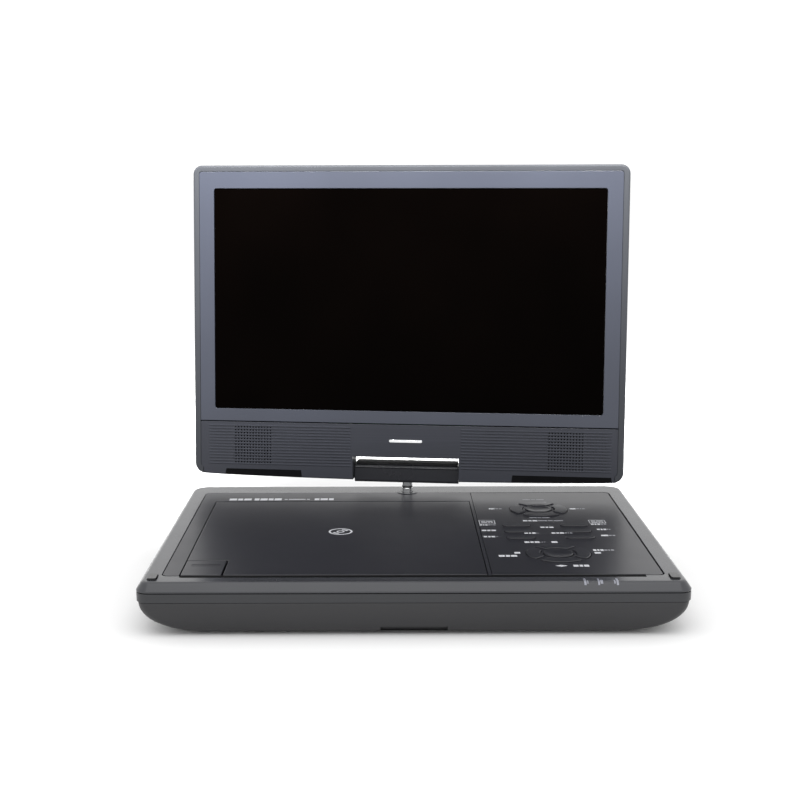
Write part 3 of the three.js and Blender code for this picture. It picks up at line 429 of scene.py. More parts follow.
# -- materials
class Shader:
    """A node tree under construction: short calls that add a node and link its inputs."""

    def __init__(self, name):
        self.material = bpy.data.materials.new(name)
        self.material.use_nodes = True
        self.tree = self.material.node_tree
        self.surface = self.tree.nodes["Principled BSDF"]
        self.place = self.node("ShaderNodeTexCoord").outputs["Object"]

    def node(self, kind, inputs=None, **settings):
        made = self.tree.nodes.new(kind)
        for key, value in settings.items():
            setattr(made, key, value)
        for key, value in (inputs or {}).items():
            self.put(made.inputs[key], value)
        return made

    def put(self, socket, value):
        if isinstance(value, bpy.types.NodeSocket):
            self.tree.links.new(value, socket)
        else:
            socket.default_value = value

    def noise(self, scale, detail=3, stretch=(1, 1, 1)):
        mapped = self.node("ShaderNodeMapping", {"Vector": self.place, "Scale": stretch})
        inputs = {"Vector": mapped.outputs[0], "Scale": scale, "Detail": detail}
        return self.node("ShaderNodeTexNoise", inputs).outputs["Fac"]

    def ranged(self, value, low, high, to_low, to_high):
        inputs = {0: value, 1: low, 2: high, 3: to_low, 4: to_high}
        return self.node("ShaderNodeMapRange", inputs).outputs[0]

    def math(self, operation, a, b):
        return self.node("ShaderNodeMath", {0: a, 1: b}, operation=operation).outputs[0]

    def mix(self, factor, a, b):
        mixed = self.node("ShaderNodeMix", data_type="RGBA")
        for index, value in ((0, factor), (6, a), (7, b)):
            self.put(mixed.inputs[index], value)
        return mixed.outputs[2]

    def bump(self, height, strength, distance):
        inputs = {"Height": height, "Strength": strength, "Distance": distance}
        return self.node("ShaderNodeBump", inputs).outputs[0]

    def worn_edges(self, amount):
        """0 on flats and up to the amount on convex edges."""
        point = self.node("ShaderNodeNewGeometry").outputs["Pointiness"]
        return self.ranged(point, 0.53, 0.62, 0.0, amount)

    def finish(self, **sockets):
        for key, value in sockets.items():
            self.put(self.surface.inputs[key.replace("_", " ")], value)
        return self.material


def shade(colour, factor):
    return tuple(min(1.0, c * factor) for c in colour[:3]) + (1.0,)


def moulded(name, colour, rough, grain=0.0, grain_scale=1800, smudge=0.05, scratches=0.0,
            variation=0.08, wear=0.15, specular=0.5):
    """Moulded plastic: uneven gloss, a grain, fine scratches and lighter worn edges."""
    s = Shader(name)
    tone = s.ranged(s.noise(14, 2), 0.3, 0.7, 0.0, 1.0)
    body = s.mix(tone, shade(colour, 1 - variation), shade(colour, 1 + variation))
    colour_out = s.mix(s.worn_edges(wear), body, shade(colour, 2.2))
    gloss = s.ranged(s.noise(38, 5), 0.3, 0.7, rough - smudge, rough + smudge)
    height = s.noise(grain_scale, 2)
    if scratches:
        along = s.ranged(s.noise(60, 2, stretch=(1, 40, 40)), 0.68, 0.74, 0, 1)
        across = s.ranged(s.noise(60, 2, stretch=(40, 1.6, 40)), 0.7, 0.76, 0, 1)
        marks = s.math("MAXIMUM", along, across)
        gloss = s.math("ADD", gloss, s.math("MULTIPLY", marks, scratches))
    return s.finish(
        Base_Color=colour_out, Roughness=gloss, Normal=s.bump(height, grain, 0.0002),
        Specular_IOR_Level=specular,
    )


def metal(name, colour, rough, stretch, spots=0.06):
    """Machined or rolled metal with brushing along one direction."""
    s = Shader(name)
    brush = s.noise(900, 3, stretch)
    cloud = s.noise(60, 3)
    lines = s.ranged(brush, 0.3, 0.7, rough - 0.07, rough + 0.07)
    gloss = s.math("ADD", lines, s.ranged(cloud, 0.3, 0.7, -spots, spots))
    tint = s.mix(s.ranged(cloud, 0.3, 0.7, 0, 1), shade(colour, 0.85), shade(colour, 1.08))
    return s.finish(Base_Color=tint, Roughness=gloss, Metallic=1.0, Normal=s.bump(brush, 0.15, 0.0001))


def rubber(name, colour, dust_gain=3.2, shine=0.4):
    s = Shader(name)
    grain = s.noise(2600, 4)
    dust = s.noise(130, 4)
    tint = s.mix(s.ranged(dust, 0.45, 0.75, 0, 0.6), shade(colour, 1), shade(colour, dust_gain))
    gloss = s.ranged(grain, 0.3, 0.7, 0.62, 0.85)
    return s.finish(
        Base_Color=tint, Roughness=gloss, Normal=s.bump(grain, 0.5, 0.0003), Specular_IOR_Level=shine,
    )


def circuit(name):
    """Green solder mask over thin traces, with tinned pads."""
    s = Shader(name)
    lines = s.node("ShaderNodeTexVoronoi", {"Vector": s.place, "Scale": 260}, feature="DISTANCE_TO_EDGE")
    pads = s.node("ShaderNodeTexVoronoi", {"Vector": s.place, "Scale": 420, "Randomness": 0.35})
    trace = s.ranged(lines.outputs["Distance"], 0.04, 0.07, 1, 0)
    pad = s.ranged(pads.outputs["Distance"], 0.16, 0.2, 1, 0)
    mask = s.mix(trace, (0.012, 0.085, 0.03, 1), (0.03, 0.17, 0.06, 1))
    tint = s.mix(pad, mask, (0.62, 0.6, 0.52, 1))
    gloss = s.ranged(s.noise(200, 3), 0.3, 0.7, 0.3, 0.5)
    return s.finish(Base_Color=tint, Roughness=gloss, Normal=s.bump(trace, 0.3, 0.0001))


def wrapped_cell(name):
    """Shrink wrap with soft wrinkles."""
    s = Shader(name)
    wrinkle = s.noise(70, 4, stretch=(0.4, 1.6, 1))
    tint = s.mix(s.ranged(wrinkle, 0.3, 0.7, 0, 1), (0.012, 0.03, 0.11, 1), (0.022, 0.05, 0.16, 1))
    gloss = s.ranged(s.noise(300, 3), 0.3, 0.7, 0.28, 0.45)
    return s.finish(Base_Color=tint, Roughness=gloss, Normal=s.bump(wrinkle, 0.5, 0.0008))


def printed_ink(name, colour):
    """Screen-printed marks with slightly uneven cover."""
    s = Shader(name)
    cover = s.noise(1500, 3)
    tint = s.mix(s.ranged(cover, 0.35, 0.6, 0, 1), shade(colour, 0.75), shade(colour, 1.05))
    return s.finish(Base_Color=tint, Roughness=s.ranged(cover, 0.3, 0.7, 0.35, 0.55))


def clear_plastic(name):
    s = Shader(name)
    flow = s.noise(220, 3)
    tint = s.mix(flow, (0.3, 0.31, 0.36, 1), (0.42, 0.43, 0.5, 1))
    gloss = s.ranged(flow, 0.3, 0.7, 0.08, 0.2)
    return s.finish(Base_Color=tint, Roughness=gloss, Transmission_Weight=0.35, IOR=1.49)


def lens_glass(name):
    s = Shader(name)
    film = s.noise(900, 3)
    tint = s.mix(film, (0.015, 0.03, 0.09, 1), (0.04, 0.02, 0.08, 1))
    gloss = s.ranged(film, 0.3, 0.7, 0.02, 0.06)
    return s.finish(Base_Color=tint, Roughness=gloss, Coat_Weight=1.0, Coat_Roughness=0.02)


MATERIALS = {
    "trim": moulded("trim_plastic", (0.034, 0.0352, 0.0405), 0.24, grain=0.02, smudge=0.02,
                    scratches=0.02, wear=0.06),
    "band": moulded("band_plastic", (0.02, 0.021, 0.024), 0.34, grain=0.06, smudge=0.03),
    "belly": moulded("belly_plastic", (0.0175, 0.0175, 0.0195), 0.42, grain=0.25, grain_scale=2400),
    "deck": moulded("deck_plastic", (0.014, 0.0143, 0.019), 0.37, grain=0.008, smudge=0.012,
                    scratches=0.02),
    "inner_deck": moulded("well_plastic", (0.014, 0.0143, 0.019), 0.38, grain=0.02, smudge=0.02),
    "key": moulded("key_plastic", (0.016, 0.0164, 0.021), 0.34, grain=0.03, wear=0.3),
    "lid": moulded("lid_plastic", (0.037, 0.0395, 0.0455), 0.58, grain=0.03, smudge=0.02,
                   wear=0.0, specular=0.22),
    "bezel": moulded("bezel_plastic", (0.036, 0.0405, 0.057), 0.3, grain=0.04, smudge=0.02, wear=0.0),
    "grille": moulded("grille_plastic", (0.024, 0.026, 0.035), 0.36, grain=0.06, smudge=0.03,
                      specular=0.36),
    "hinge": moulded("hinge_plastic", (0.018, 0.0187, 0.0225), 0.28, grain=0.03, smudge=0.03,
                     specular=0.42),
    "window": moulded("window_gloss", (0.0007, 0.0004, 0.0003), 0.1, smudge=0.03, grain=0.0,
                      variation=0.3, wear=0.0, specular=0.01),
    "black": moulded("black_plastic", (0.014, 0.014, 0.015), 0.42, grain=0.25, grain_scale=3000),
    "white": moulded("acetal_plastic", (0.72, 0.71, 0.66), 0.4, grain=0.1, variation=0.04),
    "module": metal("module_frame", (0.42, 0.43, 0.44), 0.42, stretch=(1, 14, 1)),
    "steel": metal("sheet_steel", (0.52, 0.53, 0.54), 0.36, stretch=(1, 18, 1)),
    "chrome": metal("turned_chrome", (0.78, 0.79, 0.8), 0.14, stretch=(1, 1, 16), spots=0.03),
    "bumper": moulded("bumper_rubber", (0.012, 0.012, 0.013), 0.24, grain=0.05, wear=0.05),
    "rubber": rubber("black_rubber", (0.011, 0.011, 0.012)),
    # Near-black material for the strips that paint shade into the finger slot and along the lid's lower
    # edge.
    "shade_felt": rubber("black_shade_felt", (0.0025, 0.0025, 0.003), dust_gain=1.8, shine=0.08),
    "board": circuit("circuit_board"),
    "cell": wrapped_cell("battery_wrap"),
    "ink": printed_ink("white_ink", (0.62, 0.63, 0.66)),
    "dim_ink": printed_ink("grey_ink", (0.3, 0.305, 0.33)),
    "clear": clear_plastic("frosted_guide"),
    "glass": lens_glass("laser_lens"),
}


# -- casing of the base
def base_ring(inset, z, front_inset=None, tighter=None):
    """Outline of the base moved inwards, its corner radii shrinking with it."""
    front = inset if front_inset is None else front_inset
    tighter = CORNER_SHRINK * inset if tighter is None else tighter
    near, far = BASE_FRONT_CORNER - tighter, BASE_BACK_CORNER - tighter
    half, back = BASE_HALF - inset, BASE_DEPTH - front
    return at_height(rounded_rect(-half, half, front, back, [near, far, far, near], 12), z)


def deck_ring(grow, z):
    x, front, back = DECK_HALF + grow, DECK_FRONT - grow, DECK_BACK + grow
    return at_height(rounded_rect(-x, x, front, back, DECK_CORNER, 12), z)


def bumper_pocket(side):
    x, y = side * BUMPER_X, BUMPER_Y
    x0, x1 = x - BUMPER_HALF_WIDTH, x + BUMPER_HALF_WIDTH
    outline = rounded_rect(x0, x1, y - BUMPER_HALF_LENGTH, y + BUMPER_HALF_LENGTH, 1.2, 6)
    return prism(outline, -0.9, 1)


def build_trim():
    """Bevelled frame with a soft crest, the finger slot and the light channels."""
    profile = [
        (0.3, -4.6), (0.08, -4.52), (0.0, -4.3), (0.0, -4.05), (0.12, -3.72), (1.75, -1.32),
        (2.15, -0.78), (2.6, -0.4), (3.15, -0.14), (3.8, 0.0),
    ]
    rings = [base_ring(inset, z) for inset, z in profile]
    rings += [deck_ring(0.45, 0), deck_ring(0.14, -0.12), deck_ring(0, -0.45), deck_ring(0, -4.6)]
    cuts = [
        rod_z(0, HINGE_Y, 5.9, -6, 1, 48),
        prism(rounded_rect(SLOT_LEFT, SLOT_RIGHT, SLOT_FRONT, 15, [0.3, 0.3, 0.3, 1.4]), -1.5, 1),
    ]
    cuts += [bumper_pocket(side) for side in (-1, 1)]
    cuts += [cuboid(x - 1.1, x + 1.1, 5.2, 13.5, -3.3, -2.2) for x in LIGHTS_X]
    stand_in("top_trim", "base", [loft(rings, closed=True)], "trim", "trim_plastic", cuts=cuts)


def build_slot_shade_strip():
    """Near-black strip in the finger slot in front of the door: painted shade standing in for the slot's
    dark depth.
    """
    x0, x1 = SLOT_LEFT + 0.1, SLOT_RIGHT - 0.1
    outline = rounded_rect(x0, x1, SLOT_FRONT + 0.1, SLOT_BACK - 0.15, [0.3, 0.3, 0.3, 1.3])
    slot_shade_sheet = plate(outline, -1.45, -0.2, edge=0.1)
    piece("finger_slot_shade_strip", "base", [slot_shade_sheet], "shade_felt", slot="rubber")


def build_band():
    """Vertical band between the two parting lines."""
    rings = [
        base_ring(0.3, BAND_BOTTOM), base_ring(0.12, BAND_BOTTOM + 0.15),
        base_ring(0.05, BAND_TOP - 0.4), base_ring(0.15, BAND_TOP - 0.1), base_ring(0.4, BAND_TOP),
        deck_ring(LEDGE_INSET, LEDGE_TOP), deck_ring(LEDGE_INSET, LEDGE_BOTTOM),
        base_ring(BAND_WALL, LEDGE_BOTTOM), base_ring(BAND_WALL, BAND_BOTTOM),
    ]
    stand_in("upper_case", "base", [loft(rings, closed=True)],
             "band", "shell_plastic", cuts=[rod_z(0, HINGE_Y, 12.6, -8, -4, 48)])


def belly_ring(turn, thickness=0.0):
    """One ring of the belly: turn runs from 0 at its top edge to 1 at the flat bottom."""
    angle = turn * math.pi / 2
    inward = 1 - math.cos(angle)
    side = BELLY_STEP + thickness + (BELLY_SIDE - thickness / 2) * inward
    front = BELLY_LIP + thickness + (BELLY_FRONT - thickness / 2) * inward
    drop = BELLY_TOP - BELLY_BOTTOM - thickness
    z = BELLY_TOP - drop * math.sin(angle)
    return base_ring(side, z, front_inset=front, tighter=BELLY_STEP + thickness - BELLY_OPENING * inward)


def build_belly():
    """Rounded tub with its sockets, vents, screw wells and feet pockets."""
    turns = [i / 16 for i in range(16, 0, -1)] + [0.02, 0]
    outside = [belly_ring(turn) for turn in turns]
    outside[-1] = base_ring(BELLY_STEP + 0.2, BELLY_TOP, front_inset=BELLY_LIP + 0.2)
    rising = reversed(turns[1:-1:2])
    inside = [belly_ring(turn, BELLY_WALL) for turn in rising] + [belly_ring(1, BELLY_WALL)]
    cuts = [rod_x(*JACK_CUT, y, PORT_Z, radius + 0.3, 32) for y, radius in JACKS.values()]
    cuts += [rod_z(side * FOOT_X, y, FOOT_HOLE, UNDER, FOOT_TOP, 40) for side in (-1, 1) for y in FOOT_Y]
    wheel = (WHEEL_Y - WHEEL_SLOT, WHEEL_Y + WHEEL_SLOT, PORT_Z - WHEEL_SLOT_RISE, PORT_Z + WHEEL_SLOT_RISE)
    cuts += [
        cuboid(*FRONT_SLOT),
        prism_x(stadium(*SWITCH_SLOT, PORT_Z - 1.5, PORT_Z + 1.5), *RIGHT_WALL),
        cuboid(*RIGHT_WALL, *wheel),
        prism_x(rounded_rect(*WIDE_SOCKET, 0.8), *LEFT_WALL),
        prism_x(rounded_rect(*CARD_SLOT, 0.8), *LEFT_WALL),
    ]
    cuts += [rod_z(x, y, SCREW_WELL, UNDER, SCREW_WELL_TOP, 28) for x, y in SCREWS]
    starts = [VENT_LEFT + VENT_PITCH * i for i in range(VENT_COUNT)]
    vents = [stadium(x, x + VENT_WIDTH, VENT_FRONT, VENT_BACK) for x in starts]
    cuts.append(merged([prism(vent, UNDER, -20) for vent in vents]))
    cuts.append(prism(rounded_rect(*UNDER_RECESS, 3), UNDER, BELLY_BOTTOM + UNDER_RECESS_DEPTH))
    stand_in("lower_case", "base", [loft(outside + inside)], "belly", "shell_plastic", cuts=cuts)


def build_screws():
    """Pan heads with a cross recess, facing down in their wells."""
    z, long, short = SCREW_SEAT, SCREW_ARM, SCREW_ARM_HALF
    profile = [(0, z), (2.5, z), (2.5, z - 0.7), (2.1, z - 1.2), (0, z - 1.45)]
    for number, (x, y) in enumerate(SCREWS, 1):
        arms = [
            cuboid(x - long, x + long, y - short, y + short, z - 0.7 - 0.01, z - 2),
            cuboid(x - short, x + short, y - long, y + long, z - 0.7, z - 2),
        ]
        head = lathe(profile, x, y, 28)
        piece(f"case_screw_{number}", "base", [head], "steel", cuts=arms, slot="steel")


# -- deck and door
def build_door():
    """Disc door with its pins, stiffening rings, disc seat and latch hook."""
    outline = [(DOOR_LEFT, DOOR_BACK), (DOOR_LEFT, TAB_BACK + 0.5), (TAB_RIGHT + 0.6, TAB_BACK + 0.5)]
    outline += [(TAB_RIGHT + 0.6, SLOT_BACK), (DOOR_RIGHT, SLOT_BACK), (DOOR_RIGHT, DOOR_BACK)]
    leaf = plate(outline, -DOOR_THICK, 0, edge=0.35, steps=3)
    under = -DOOR_THICK - 0.6
    tab_space = cuboid(DOOR_LEFT - 1, TAB_RIGHT + 0.6, 10, TAB_BACK + 0.5, under - 1, 1)
    parts = [
        leaf,
        rod_x(DOOR_LEFT - PIN_LEFT, DOOR_LEFT + PIN_LENGTH, DOOR_AXIS_Y, DOOR_AXIS_Z, PIN_RADIUS),
        rod_x(DOOR_RIGHT - PIN_LENGTH, DOOR_RIGHT + PIN_RIGHT, DOOR_AXIS_Y, DOOR_AXIS_Z, PIN_RADIUS),
        hoop(*DOOR_RING, under, -1.9, WELL_X, WELL_Y, 96),
        hoop(*DISC_SEAT, under, -1.9, WELL_X, WELL_Y, 48),
        cuboid(*HOOK_X, 17, 18.4, HOOK_BOTTOM, -2),
        cuboid(*HOOK_X, 18, 19.8, HOOK_BOTTOM, HOOK_BOTTOM + 0.8),
    ]
    stand_in("disc_door", "door", parts, "deck", "deck_plastic", cuts=[tab_space])


def build_tab():
    outline = rounded_rect(DOOR_LEFT + 0.1, TAB_RIGHT - 0.3, SLOT_BACK, TAB_BACK - 0.2, 0.8, 4)
    cap = plate(outline, -1.9, 0, edge=0.35, steps=3)
    groove = [prism(stadium(-105, -91, 28.6 + lift, 29.2 + lift), -0.25, 1) for lift in (0, 2.2)]
    stem = rod_z(TAB_STEM_X, TAB_STEM_Y, TAB_STEM_RADIUS, -8, -1.2)
    stand_in("open_button", "open_tab", [cap, stem], "deck", "deck_plastic", cuts=groove)


def build_panel():
    """Control panel with a rounded edge round each key."""
    x1, back = DECK_HALF - 0.6, DECK_BACK - 0.7
    front = DECK_FRONT + 0.3
    outline = rounded_rect(PANEL_LEFT, x1, front, back, [2.7, 2.7, 0, 0])
    outline = [p for p in outline if p != (PANEL_LEFT, front)]
    outline += [(PANEL_LEFT, SLOT_BACK), (SLOT_RIGHT, SLOT_BACK), (SLOT_RIGHT, front)]
    holes = [shape(0.35) for _, shape, _ in key_outlines()]
    panel = plate(outline, -PANEL_THICK, 0, holes, edge=0.25, steps=2)
    pegs = [rod_z(x, y, 2, -7, -PANEL_THICK + 0.4) for x in PEG_X for y in PEG_Y]
    stand_in("control_panel", "base", [panel, *pegs], "deck", "deck_plastic")


def build_keys():
    for name, shape, (x, y) in key_outlines():
        cap = plate(shape(0), KEY_BOTTOM, KEY_RISE, edge=0.4, steps=3)
        flange = prism(shape(0.7), KEY_BOTTOM - 0.1, -2.35)
        stem = rod_z(x, y, *KEY_STEM, 16)
        dish = []
        if name.endswith("centre"):
            reach, low = PAD_CENTRE + 0.2, KEY_RISE - 0.55
            bowl = [(0, low)] + [(reach * i / 10, low + 0.75 * (i / 10) ** 2) for i in range(1, 11)]
            dish = [lathe(bowl + [(reach, 3), (0, 3)], x, y, 48)]
        stand_in(name, f"key_{name}", [cap, flange, stem], "key", "key_plastic", cuts=dish)


# -- printed marks
def dashes(x0, x1, y, height, lengths, gap=0.5):
    """A row of short bars that fills x0 to x1, their lengths in the given proportions."""
    unit = (x1 - x0 - gap * (len(lengths) - 1)) / sum(lengths)
    bars = []
    for length in lengths:
        bars.append(bar(x0, x0 + unit * length, y - height / 2, y + height / 2))
        x0 += unit * length + gap
    return bars


def printed(name, body, shapes, ink):
    """Flat ink a few hundredths of a millimetre proud of the deck or the door."""
    solids = [prism(shape, -0.02, 0.03) for shape in shapes]
    piece(name, body, [merged(solids)], ink)


def arrow(x, y, size, facing):
    """A triangle pointing along +X or -X."""
    back, tip = x - facing * size, x + facing * size
    return [(back, y - size), (tip, y), (back, y + size)][::facing]


def panel_marks():
    """Bright and dim bars beside the keys: x from, x to, y, height and the share that is bright."""
    rows = [
        (65, 76.9, 159.7, 1.3, 0), (71.5, 77.7, 153.6, 1.2, 0),
        (44.2, 51.4, 138.6, 2.4, 0.45), (88.8, 97.1, 138.2, 2.4, 0.4),
        (64.5, 75.5, 118.6, 2, 0), (60.4, 81.8, 112.2, 2.4, 0.36),
        (36.9, 45.2, 103.6, 2.2, 0.5), (37.2, 44.6, 92.5, 2.6, 1), (37.3, 44.6, 80.3, 2.6, 0.8),
        (97.2, 104.1, 94, 2.6, 0.7), (97.5, 104.7, 82, 2.6, 0.5), (95.6, 103.6, 104.6, 2.4, 0.6),
        (68.3, 75.1, 98.6, 2.4, 1), (58.8, 66, 87, 2.6, 0.8), (72.7, 83.4, 87, 2.6, 0.6),
        (57.1, 64.6, 69.6, 2.8, 1), (65.6, 67.6, 69.6, 1.6, 0), (70.6, 73.6, 69.6, 3, 1),
        (42.1, 52, 44.8, 3, 0.9), (50.2, 53, 50.2, 2.8, 1), (89.3, 99.5, 54.6, 2.8, 0.5),
        (89.3, 92.4, 49.8, 2.6, 1), (76, 83.4, 27.7, 3, 1),
    ]
    bright, dim = [], []
    for x0, x1, y, height, share in rows:
        split = x0 + (x1 - x0) * share
        if share:
            bright += dashes(x0, split, y, height, (3, 2, 3) if split - x0 > 4 else (1,))
        if share < 1:
            lengths = (2, 1, 2) if x1 - split > 4 else (1, 1)
            dim += dashes(split + 0.4 * bool(share), x1, y, height * 0.7, lengths)
    arrows = [arrow(71.6, 27.7, 1.7, 1), arrow(68.6, 27.7, 1.3, -1)]
    return bright + arrows, dim


def frame_marks():
    """Thin boxed outlines round two of the labels."""
    shapes, thin = [], 0.35
    for x0, x1, y0, y1 in ((36.9, 45.4, 105.6, 113.8), (95.3, 104, 106.6, 113.4)):
        low, high, middle = y0 + thin, y1 - thin, (y0 + y1) / 2
        shapes += [bar(x0, x1, y0, low), bar(x0, x1, high, y1)]
        shapes += [bar(x0, x0 + thin, low, high), bar(x1 - thin, x1, low, high)]
        shapes += dashes(x0 + 1.2, x1 - 1.2, middle + 1.3, 1.1, (2, 3))
        shapes += dashes(x0 + 1.2, x1 - 1.2, middle - 1.3, 1.1, (3, 1, 1))
    return shapes


def disc_pictogram(x, y, radius):
    """Two arcs round a hub ring: a plain drawing of a disc."""
    shapes = []
    rings = ((1, 0.84, 0, 360), (0.34, 0.2, 0, 360), (0.7, 0.5, 20, 60), (0.7, 0.5, 200, 60))
    for outer, inner, start, sweep in rings:
        steps = max(6, sweep // 10)
        for i in range(steps):
            a, b = (math.radians(start + sweep * (i + k) / steps) for k in (0, 1))
            corners = [(inner, a), (outer, a), (outer, b), (inner, b)]
            shapes.append([(x + radius * r * math.cos(t), y + radius * r * math.sin(t)) for r, t in corners])
    return shapes


def build_marks():
    bright, dim = panel_marks()
    printed("panel_marks", "base", bright + frame_marks(), "ink")
    printed("panel_marks_dim", "base", dim, "dim_ink")
    row = (
        (-101.2, -88.7, 4.2, (3, 2, 3)), (-87, -71.6, 4.6, (2, 3, 2, 3)),
        (-69.9, -55.7, 1.4, (1, 6, 1)), (-52.9, -42.1, 4.2, (2, 3, 2)),
    )
    bars = []
    for x0, x1, height, lengths in row:
        bars += dashes(x0, x1, DECK_MARKS_Y, height, lengths, 0.7)
    printed("deck_marks", "base", bars, "ink")
    printed("door_disc_mark", "door", disc_pictogram(*DISC_MARK), "ink")


# -- swivel and hinge block
def build_hinge():
    half, reach = HINGE_DEPTH / 2, HINGE_HALF + 1
    low, top = HINGE_AXIS_Z - HINGE_HEIGHT / 2, HINGE_AXIS_Z + HINGE_HEIGHT / 2
    outline = rounded_rect(-half, half, low, top, [1.8, 1.1, 1.1, 1.8], 8)
    block = prism_x(outline, -HINGE_HALF, HINGE_HALF)
    ridge = rod_x(-HINGE_HALF + 0.5, HINGE_HALF - 0.5, -half + 0.1, top - 1.5, 0.55)
    cuts = [
        rod_z(0, 0, POST_RADIUS + 0.3, low - 1, 13.8, 40),
        rod_x(-reach, -SHAFT_START, 0, HINGE_AXIS_Z, SHAFT_BORE),
        rod_x(SHAFT_START, reach, 0, HINGE_AXIS_Z, SHAFT_BORE),
    ]
    stand_in("hinge_block", "turret", [block, ridge], "hinge", "hinge_plastic", cuts=cuts, edge=0.22)
    pad_outline = rounded_rect(-HINGE_HALF + 0.8, HINGE_HALF - 0.8, -3.9, 4.9, 0.6, 4)
    pad = plate(pad_outline, top - 0.2, top + 1.1, edge=0.3)
    piece("hinge_cover_pad", "turret", [pad], "rubber", slot="rubber")
    ring = [(2.3, 3.2), (2.9, 3.2), (3, 3.35), (3, 4.05), (2.9, 4.2), (2.3, 4.2), (2.3, 3.2)]
    piece("swivel_ring", "turret", [lathe(ring, sides=48)], "black", slot="black_plastic")
    post = [
        (0, -9.6), (6.8, -9.6), (7, -9.4), (7, -8), (6.8, -7.8), (POST_RADIUS, -7.8),
        (POST_RADIUS, 2.9), (2.9, 3.15), (2.35, 3.3), (2.35, 4.1), (2.9, 4.25), (POST_RADIUS, 4.5),
        (POST_RADIUS, 13.1), (2.8, 13.4), (0, 13.4),
    ]
    stand_in("swivel_post", "turret", [lathe(post, sides=64)], "chrome", "chrome", smooth=25)
    bush = [
        (3.4, -7.4), (11.8, -7.4), (12, -7.2), (12, -5.5), (11.8, -5.3), (5.5, -5.3), (5.5, 0.0),
        (5.35, 0.2), (5.05, 0.25), (3.7, 0.25), (3.4, 0.1), (3.4, -7.4),
    ]
    bush = lathe(bush, 0, HINGE_Y, 64)
    stand_in("swivel_bearing", "base", [bush], "chrome", "chrome", smooth=25)
    collar = [
        (3.5, 0.27), (5.2, 0.27), (5.8, 0.02), (5.8, 0.15), (5.6, 0.3), (5.2, 0.38), (3.8, 0.4),
        (3.5, 0.35), (3.5, 0.27),
    ]
    piece("swivel_collar", "base", [lathe(collar, 0, HINGE_Y, 64)], "hinge", slot="rubber")


# -- screen housing
def lower_edge(u):
    return LID_BOTTOM + LID_BOW * (u / LID_HALF) ** 2


def lid_outline(inset, top=None, top_radius=LID_TOP_RADIUS):
    """Outline of the housing moved inwards; its lower edge is a shallow bow."""
    half = LID_HALF - inset
    low = lower_edge(half) + inset
    top = LID_TOP - inset if top is None else top
    upper = max(top_radius - inset, 0.5)
    lower = max(LID_LOW_RADIUS - inset, 0.5)
    steps, parts = 8, 24
    points = rounded_rect(-half, half, low, top, [lower, upper, upper, lower], steps)
    spread = [2 * i / parts - 1 for i in range(1, parts)]
    points[2 * (steps + 1):2 * (steps + 1)] = [((upper - half) * t, top) for t in spread]
    points += [((half - lower) * t, lower_edge((half - lower) * t) + inset) for t in spread]
    return points


def notch_solid(grow=0.0):
    return cuboid(-NOTCH_HALF - grow, NOTCH_HALF + grow, -9, NOTCH_TOP + grow, -9, 14)


def build_lid_shell():
    """Hollow housing: a rounded back, straight sides and a soft rim round the face."""
    layers = []
    fillet, rim = LID_FILLET, LID_RIM_FILLET
    for i in range(7):
        angle = math.radians(90 * i / 6)
        layers.append((fillet * (1 - math.sin(angle)) + 0.05, LID_BACK + fillet * (1 - math.cos(angle))))
    layers += [(0, LID_BACK + fillet + 0.6), (0, LID_FRONT - rim)]
    for i in range(1, 6):
        angle = math.radians(90 * i / 5)
        layers.append((rim * (1 - math.cos(angle)), LID_FRONT - rim * (1 - math.sin(angle))))
    seat = LID_FRONT - 2.7
    layers += [
        (RIM_WIDTH - 0.35, LID_FRONT), (RIM_WIDTH - 0.1, LID_FRONT - 0.12),
        (RIM_WIDTH, LID_FRONT - 0.4), (RIM_WIDTH, seat), (LID_WALL, seat), (LID_WALL, LID_BACK + LID_WALL),
    ]
    shell = loft([at_height(lid_outline(inset), z) for inset, z in layers])
    reach = NOTCH_HALF + NOTCH_WALL
    surround = cuboid(-reach, reach, -1.5, NOTCH_TOP + NOTCH_WALL, LID_BACK + 1, 8)
    cuts = [
        notch_solid(),
        rod_x(-reach - 3, reach + 3, 0, 0, SHAFT_BORE),
        cuboid(-CHIN_HALF - 0.2, CHIN_HALF + 0.2, -6, 1.6, LID_FACE - 0.9, 14),
    ]
    cuts += [rod_z(u, CAP_V, 3.4, -6, LID_BACK + 0.7) for u in CAP_U]
    stand_in("lid_back", "screen", [shell, surround], "lid", "lid_plastic", cuts=cuts)
    profile = [(0, 0.65), (3.1, 0.65), (3.1, 0.2), (2.8, 0.05), (0, 0)]
    for number, u in enumerate(CAP_U, 1):
        cap = lathe([(radius, LID_BACK + z) for radius, z in profile], u, CAP_V, 40)
        piece(f"lid_screw_cap_{number}", "screen", [cap], "rubber", slot="rubber")
    # Near-black strips along the lid's lower edge, either side of the hinge: painted shade where that edge
    # turns down away from the light.
    for number, (u0, u1) in enumerate(SHADE_STRIPS, 1):
        steps = [u0 + (u1 - u0) * i / 8 for i in range(9)]
        outline = [(u, lower_edge(u) + 0.2) for u in steps] + [(u1 - 0.6, 1.3), (u0 + 0.6, 1.3)]
        strip = plate(outline, LID_FACE - 1.2, LID_FACE + 0.15, edge=0.12)
        piece(f"lid_shade_strip_{number}", "screen", [strip], "shade_felt", slot="rubber")


def build_bezel():
    inset = RIM_WIDTH + 0.05
    half, top = LID_HALF - inset, LID_TOP - inset
    outline = rounded_rect(-half, half, SEAM_V + 0.15, top, [0.2, 1.45, 1.45, 0.2], 5)
    hole = rounded_rect(-WINDOW_HALF, WINDOW_HALF, WINDOW_LOW, WINDOW_HIGH, 1.5, 5)
    bezel = plate(outline, LID_FACE - 2, LID_FACE, [hole], edge=0.14, steps=3)
    stand_in("lid_bezel", "screen", [bezel], "bezel", "bezel_plastic")
    edge = WINDOW_HALF - 0.15
    pane = rounded_rect(-edge, edge, WINDOW_LOW + 0.15, WINDOW_HIGH - 0.15, 1.35, 5)
    window = plate(pane, 8.4, LID_FRONT - 0.9, edge=0.2)
    stand_in("screen_window", "screen", [window], "window", "display_window")


